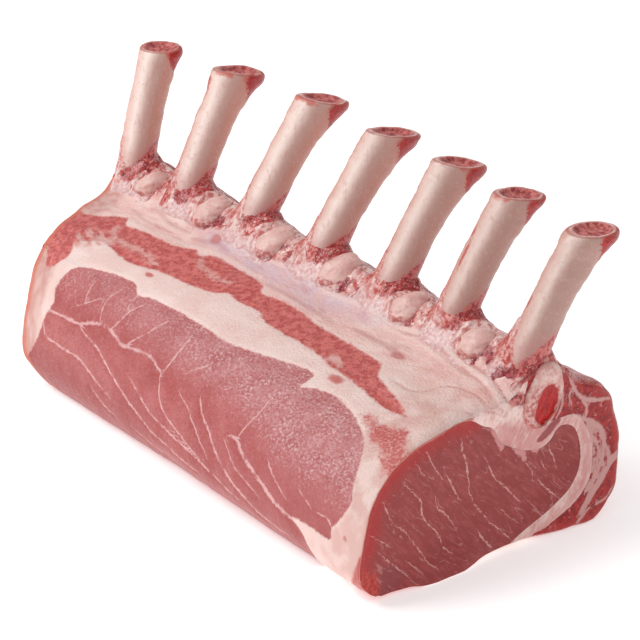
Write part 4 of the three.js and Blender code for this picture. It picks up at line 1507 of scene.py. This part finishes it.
def crust_finish():
    f = Finish("ridge_crust", **WET)
    grain, fine, web = f.noise(1.5), f.noise(.75, 2), f.noise(3.2, 4)
    ragged = (web - .5) * 1.1 + (fine - .5) * .9
    drawn = f.noise(1.5, 4, f.stretched((1, .55, .3), (.35, 0, 0)))
    membrane = f.layers(
        (.74, .4, .37),
        (f.step(web, .42, .6), (.84, .6, .56)),
        (f.patches(2.0, .45, .58) * .75, (.54, .11, .1)),
        (f.step(drawn, .5, .6) * .8, (.9, .69, .66)),
    )
    foot = f.blend(f.patches(1.4, .4, .64, 4), (.7, .4, .395), (.83, .61, .585))
    bony = f.blend(f.patches(1.3, .42, .62), (.66, .35, .32), (.8, .56, .51))
    meat = f.layers(
        RAW_DARK,
        (f.step(grain, .38, .58), RAW),
        (f.step(fine, .56, .68) * .55, (.74, .36, .34)),
        (f.step(drawn, .57, .66) * .55, (.8, .46, .43)),
    )
    mauve = f.blend(f.step(grain, .4, .6), (.2, .012, .018), (.44, .08, .088))
    bright = f.patches(1.3, .44, .64, 4, f.stretched((1, 1, .4)))
    bright = f.blend(bright, (.48, .062, .055), (.76, .34, .3))
    colour = f.layers(
        membrane,
        (f.zone("edge", .25, .6, ragged * .7), foot),
        (f.zone("drawn_up", .25, .6, ragged * .5) * .85, bony),
        (f.zone("raw", .3, .52, ragged * .7), meat),
        # dark mauve meat in the hollows, painted darker still as shade
        (f.zone("hollow", .16, .42, ragged * .6), mauve),
        (f.zone("red", .3, .56, ragged * .6), bright),
        # painted highlights: small pale glints on the wet membrane
        (f.step(f.cells(1.2), .26, .1) * f.step(web, .4, .6) * .6, (.9, .72, .69)),
    )
    normal = f.bump(f.noise(2.0, 4, f.stretched((1, .6, .4), (.35, 0, 0))), .8, .6)
    return f.wear(colour, .12 + .24 * fine, f.bump(fine, .22, .5, normal))


def knob_finish():
    f = Finish("ridge_knob", **WET)
    flesh = f.blend(f.patches(1.4, .42, .6), (.55, .13, .12), (.78, .48, .45))
    colour = f.layers(
        (.79, .5, .45),
        (f.patches(5, .4, .64), (.85, .58, .53)),
        (f.patches(3, .54, .7, 4) * .7, TOP_PINK),
        (f.patches(1.2, .56, .72, 4, f.stretched((1, .35, 1))) * .4, (.64, .26, .24)),
        (f.zone("foot", .3, .62, f.stray(1.8, 1.3, 4)) * .85, flesh),
    )
    return f.wear(colour, .34 + .15 * f.noise(2, 2), f.bump(f.noise(1.6), .6, .8))


def root_finish():
    f = Finish("sawn_root", **WET)
    inward, fine = f.mark("inward"), f.noise(1.0)
    marrow = f.layers(
        (.38, .002, .002),
        (f.step(fine, .36, .6), (.6, .018, .014)),
        (f.patches(2.4, .62, .76) * .25, (.72, .12, .09)),
        # painted shade: the marrow darker just under the hood
        (f.mark("hood_shade") * f.step(inward, .75, .4) * .6, (.4, .045, .045)),
    )
    ragged = f.stray(2.2, .3, 4) + (fine - .5) * .1
    flesh = f.blend(f.patches(1.4, .42, .6), (.5, .075, .068), (.8, .46, .43))
    colour = f.layers(
        (.74, .38, .34),
        (f.patches(3, .4, .62), (.84, .58, .53)),
        (f.step(fine, .54, .68) * .5, (.62, .16, .14)),
        (f.step(f.mark("smear") * .3 + inward * .9 + ragged, .22, .36) * .85, flesh),
        (f.step(inward + ragged, .28, .37), marrow),
        (f.step(inward, .62, .95) * .6, (.36, .012, .014)),
    )
    return f.wear(colour, .3 + .2 * fine, f.bump(fine, .4, .6))


loin_skin = skin_finish()
for piece, cut in ((eye, eye_cut_finish()), (fat, fat_cut_finish()), (rib_side, rib_cut_finish())):
    piece.data.materials.append(loin_skin)
    piece.data.materials.append(cut)
strip.data.materials.append(loin_skin)
for pieces, finish in ((ribs, bone_finish()), ([crust], crust_finish()), (knobs_of_fat, knob_finish()),
                       ([cut_root], root_finish())):
    for piece in pieces:
        piece.data.materials.append(finish)

# ---- marks on the near cut, as [y, z] -------------------------------------------------------
MARBLING = [                   # fine pale streaks in the eye, all leaning the same way
    ([(12, 37), (14, 32), (15.3, 29), (18.5, 25.5), (22.5, 21.5), (25, 17.5), (28.5, 12.5), (31, 8),
      (34, 5)], .32),
    ([(10, 18.5), (14, 14), (18, 10), (21.5, 6.5), (25, 2)], .30),
    ([(6, 26.5), (11, 22.5), (15, 19)], .20),
    ([(21, 41), (25, 36.5), (28.6, 31.5), (29, 27), (31.5, 22.5), (35, 18.5), (37.4, 15),
      (38, 11.5), (41, 8.5)], .32),
    ([(23, 10.5), (27.5, 5.5)], .26),
    ([(31, 50), (32.7, 45.5), (35.5, 41), (38.5, 37)], .24),
    ([(40, 38), (42.5, 33.5), (44.5, 30), (46.3, 26.5)], .38),
    ([(46.5, 49), (47.6, 44), (49.3, 39), (50, 34.5), (51, 30)], .40),
    ([(50.5, 28.5), (52.5, 24), (55.5, 19.5), (59, 15)], .38),
    ([(35, 31), (36, 27), (40, 23), (43.8, 17.5)], .30),
    ([(58, 38.5), (60, 34.5), (63, 29), (67, 25), (70.5, 20.8), (74.5, 16.5)], .30),
    ([(26, 47), (28.5, 43), (31.5, 39)], .20),
    ([(66, 16), (69, 12.5), (73, 9)], .20),
    ([(84, 29), (86, 25.5)], .20),
    ([(54.5, 11.5), (57.5, 7), (61.5, 2.5)], .34),
    ([(60, 13.5), (64.5, 9), (70, 3)], .28),
    ([(83.5, 21.5), (87, 17.3), (91.5, 12.5)], .34),
    ([(76, 32), (79, 28), (80.5, 24.5)], .24),
    ([(88, 33), (90, 28.5), (91, 24.5)], .22),
    ([(79, 15), (82.5, 10), (84, 6.5)], .20),
]
EYE_FRONT_RIM = [(50, 55), (43, 56), (37, 54.5), (28, 53), (19, 49),
                 (11, 42), (6, 33), (3, 21), (0, 12)]
SPIKES = [                     # points of the gristle that run down into the eye
    [(60, 50), (67, 45), (65.6, 38.5)], [(67, 43), (75, 39), (77.5, 30.5), (73, 35)],
    [(78, 38), (84, 36.5), (82, 32.5)],
]
NEAR_LOBE = [(-2, 15), (3, 14), (8, 11.5), (11, 8), (10, 2), (3, 0), (-2, 4)]
DARK_LOBE = [(11, 12), (16, 12), (20, 9), (21, 5), (17, 2.5), (11, 3)]
STRANDS = [                    # membranes between the muscles of the rib side
    ([(92.5, 63.5), (96.5, 59), (99, 53), (102, 48.6), (106, 46), (111, 44.3), (118, 43)], .85),
    ([(92, 61), (93.4, 54), (93.5, 48), (91, 43.5)], .6),
    ([(99, 54), (97, 50), (98, 46.5)], .4),
    ([(103, 47.5), (105.5, 43.5), (105, 39)], .7),
    ([(99, 42), (105, 38.5), (109.5, 35.5), (113, 31.5), (113.6, 26.5), (112, 21)], 1.0),
    ([(106, 37), (108, 31), (107, 26), (105, 20)], .9),
    ([(109, 31), (111, 25.5), (109, 20), (106, 15)], .6),
    ([(100, 5), (105, 10), (111, 15), (116, 19.5), (123, 22.5)], 1.8),
    ([(103, 12), (107, 16), (111, 20)], 1.3),
    ([(114, 18), (115.5, 22), (114, 27)], .7),
    ([(104, 6), (98, 1.5), (99, -2)], .7),
    ([(107, 6), (112, 6.5), (116, 10)], .4),
]
WEB = [(103, 36), (109, 36), (114, 30), (115, 22), (108, 12), (103, 14), (106, 22), (107, 30)]
WALL_ZONE = [(63, 50), (72, 48), (80, 46), (90, 44), (99, 42), (106, 36), (108, 27), (105, 15),
             (94, 7), (80, 0), (68, 0), (88, 9), (100, 20), (101, 34), (95, 38), (80, 33), (66, 38)]
HOLLOW = [(62, 64), (67, 61.5), (73, 59.5), (79, 57), (80, 52), (75, 52.5), (70, 54.5), (66, 58)]
RED_WEDGE = [(81.5, 37.2), (86, 37), (90, 39.5), (94.5, 43.8), (91, 43.6), (87, 41.6), (82.5, 39)]
# creases in the fat of the near cut, painted darker as shade
FACE_CREASES = [
    ([(50, 58.5), (57, 57), (63, 54), (69, 50)], .3),
    ([(56, 60), (62, 57), (68, 52.5), (74, 47.5)], .35),
    ([(62, 52), (69, 47.5), (77, 43.5)], .3),
    ([(66, 49), (72, 42)], .3),
]
for piece in (eye, fat, rib_side):
    places = own_places(piece)[:, 1:]
    outline = spline(OUTLINE, np.linspace(0, len(OUTLINE), 97), closed=True)
    cut_marks = {
        "outer": to_line(places, outline)[0].clip(0, 12),
        "rim": to_line(places, EYE_FRONT_RIM)[0].clip(0, 12),
        "near_lobe": in_patch(places, NEAR_LOBE),
        "dark_lobe": in_patch(places, DARK_LOBE),
        "spike": np.maximum.reduce([in_patch(places, spike) for spike in SPIKES]),
        "web": in_patch(places, WEB),
        "wall": in_patch(places, WALL_ZONE),
        "hollow": in_patch(places, HOLLOW),
        "wedge": in_patch(places, RED_WEDGE),
        "crease": strokes(places, FACE_CREASES),
        **lines(places, MARBLING, "marble"),
        **lines(places, STRANDS, "strand"),
    }
    write_all(piece, cut_marks)

# ---- what each piece stands for -------------------------------------------------------------
for piece, nodes, slot in (
        (eye, ["loin_eye"], "lean_meat"), (fat, ["fat_layer"], "fat"),
        (rib_side, ["rib_meat"], "rib_meat"), (strip, ["cap_muscle"], "cap_meat"),
        (cut_root, ["rib_cut_root"], "bone")):
    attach(piece, "root")
    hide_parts(*nodes)
for pieces, node, slot in ((ribs, "rib_", "bone"), (knobs_of_fat, "fat_knob_", "fat")):
    for i, piece in enumerate(pieces, 1):
        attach(piece, "root")
        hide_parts(f"{node}{i}")
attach(crust, "root")

# ---- floor, light and camera ----------------------------------------------------------------
scene = bpy.context.scene
scene.view_settings.view_transform = "Standard"
bm = bmesh.new()
bmesh.ops.create_grid(bm, x_segments=1, y_segments=1, size=6)
floor = finished("floor", bm)
plain = Finish("floor_paper", Roughness=.9, Emission_Strength=.42)
plain.shader.inputs["Base Color"].default_value = (.95, .95, .95, 1)
plain.shader.inputs["Emission Color"].default_value = (1, 1, 1, 1)
floor.data.materials.append(plain.material)

world = bpy.data.worlds.new("studio")
scene.world = world
world.use_nodes = True
background = world.node_tree.nodes["Background"].inputs
background["Color"].default_value = (1, 1, 1, 1)
background["Strength"].default_value = .48


LOIN_MIDDLE = Vector((0, 0, .05))


def softbox(name, place, size, power):
    """A square lamp that faces the middle of the loin."""
    light = bpy.data.lights.new(name, "AREA")
    light.size, light.energy = size, power
    lamp = bpy.data.objects.new(name, light)
    lamp.location = place
    lamp.rotation_euler = (LOIN_MIDDLE - lamp.location).to_track_quat("-Z", "Y").to_euler()
    scene.collection.objects.link(lamp)


softbox("key_light", (-.55, -.75, 1.15), .7, 11)
softbox("side_light", (1.1, -.1, .8), .6, .9)

CAMERA_SPOT = np.array([921.1, -691.0, 602.7])    # in the loin's coordinates
CAMERA_DOWN, CAMERA_ROUND = 25, 50               # degrees below level, and round from the front
FILM_WIDTH, LENS = 36, 202.5
camera_data = bpy.data.cameras.new("camera")
camera_data.sensor_width, camera_data.lens = FILM_WIDTH, LENS
camera_data.clip_end = 20
camera = bpy.data.objects.new("camera", camera_data)
camera.location = CAMERA_SPOT * MM + ORIGIN
camera.rotation_euler = Euler((math.radians(90 - CAMERA_DOWN), 0, math.radians(CAMERA_ROUND)))
scene.collection.objects.link(camera)
scene.camera = camera
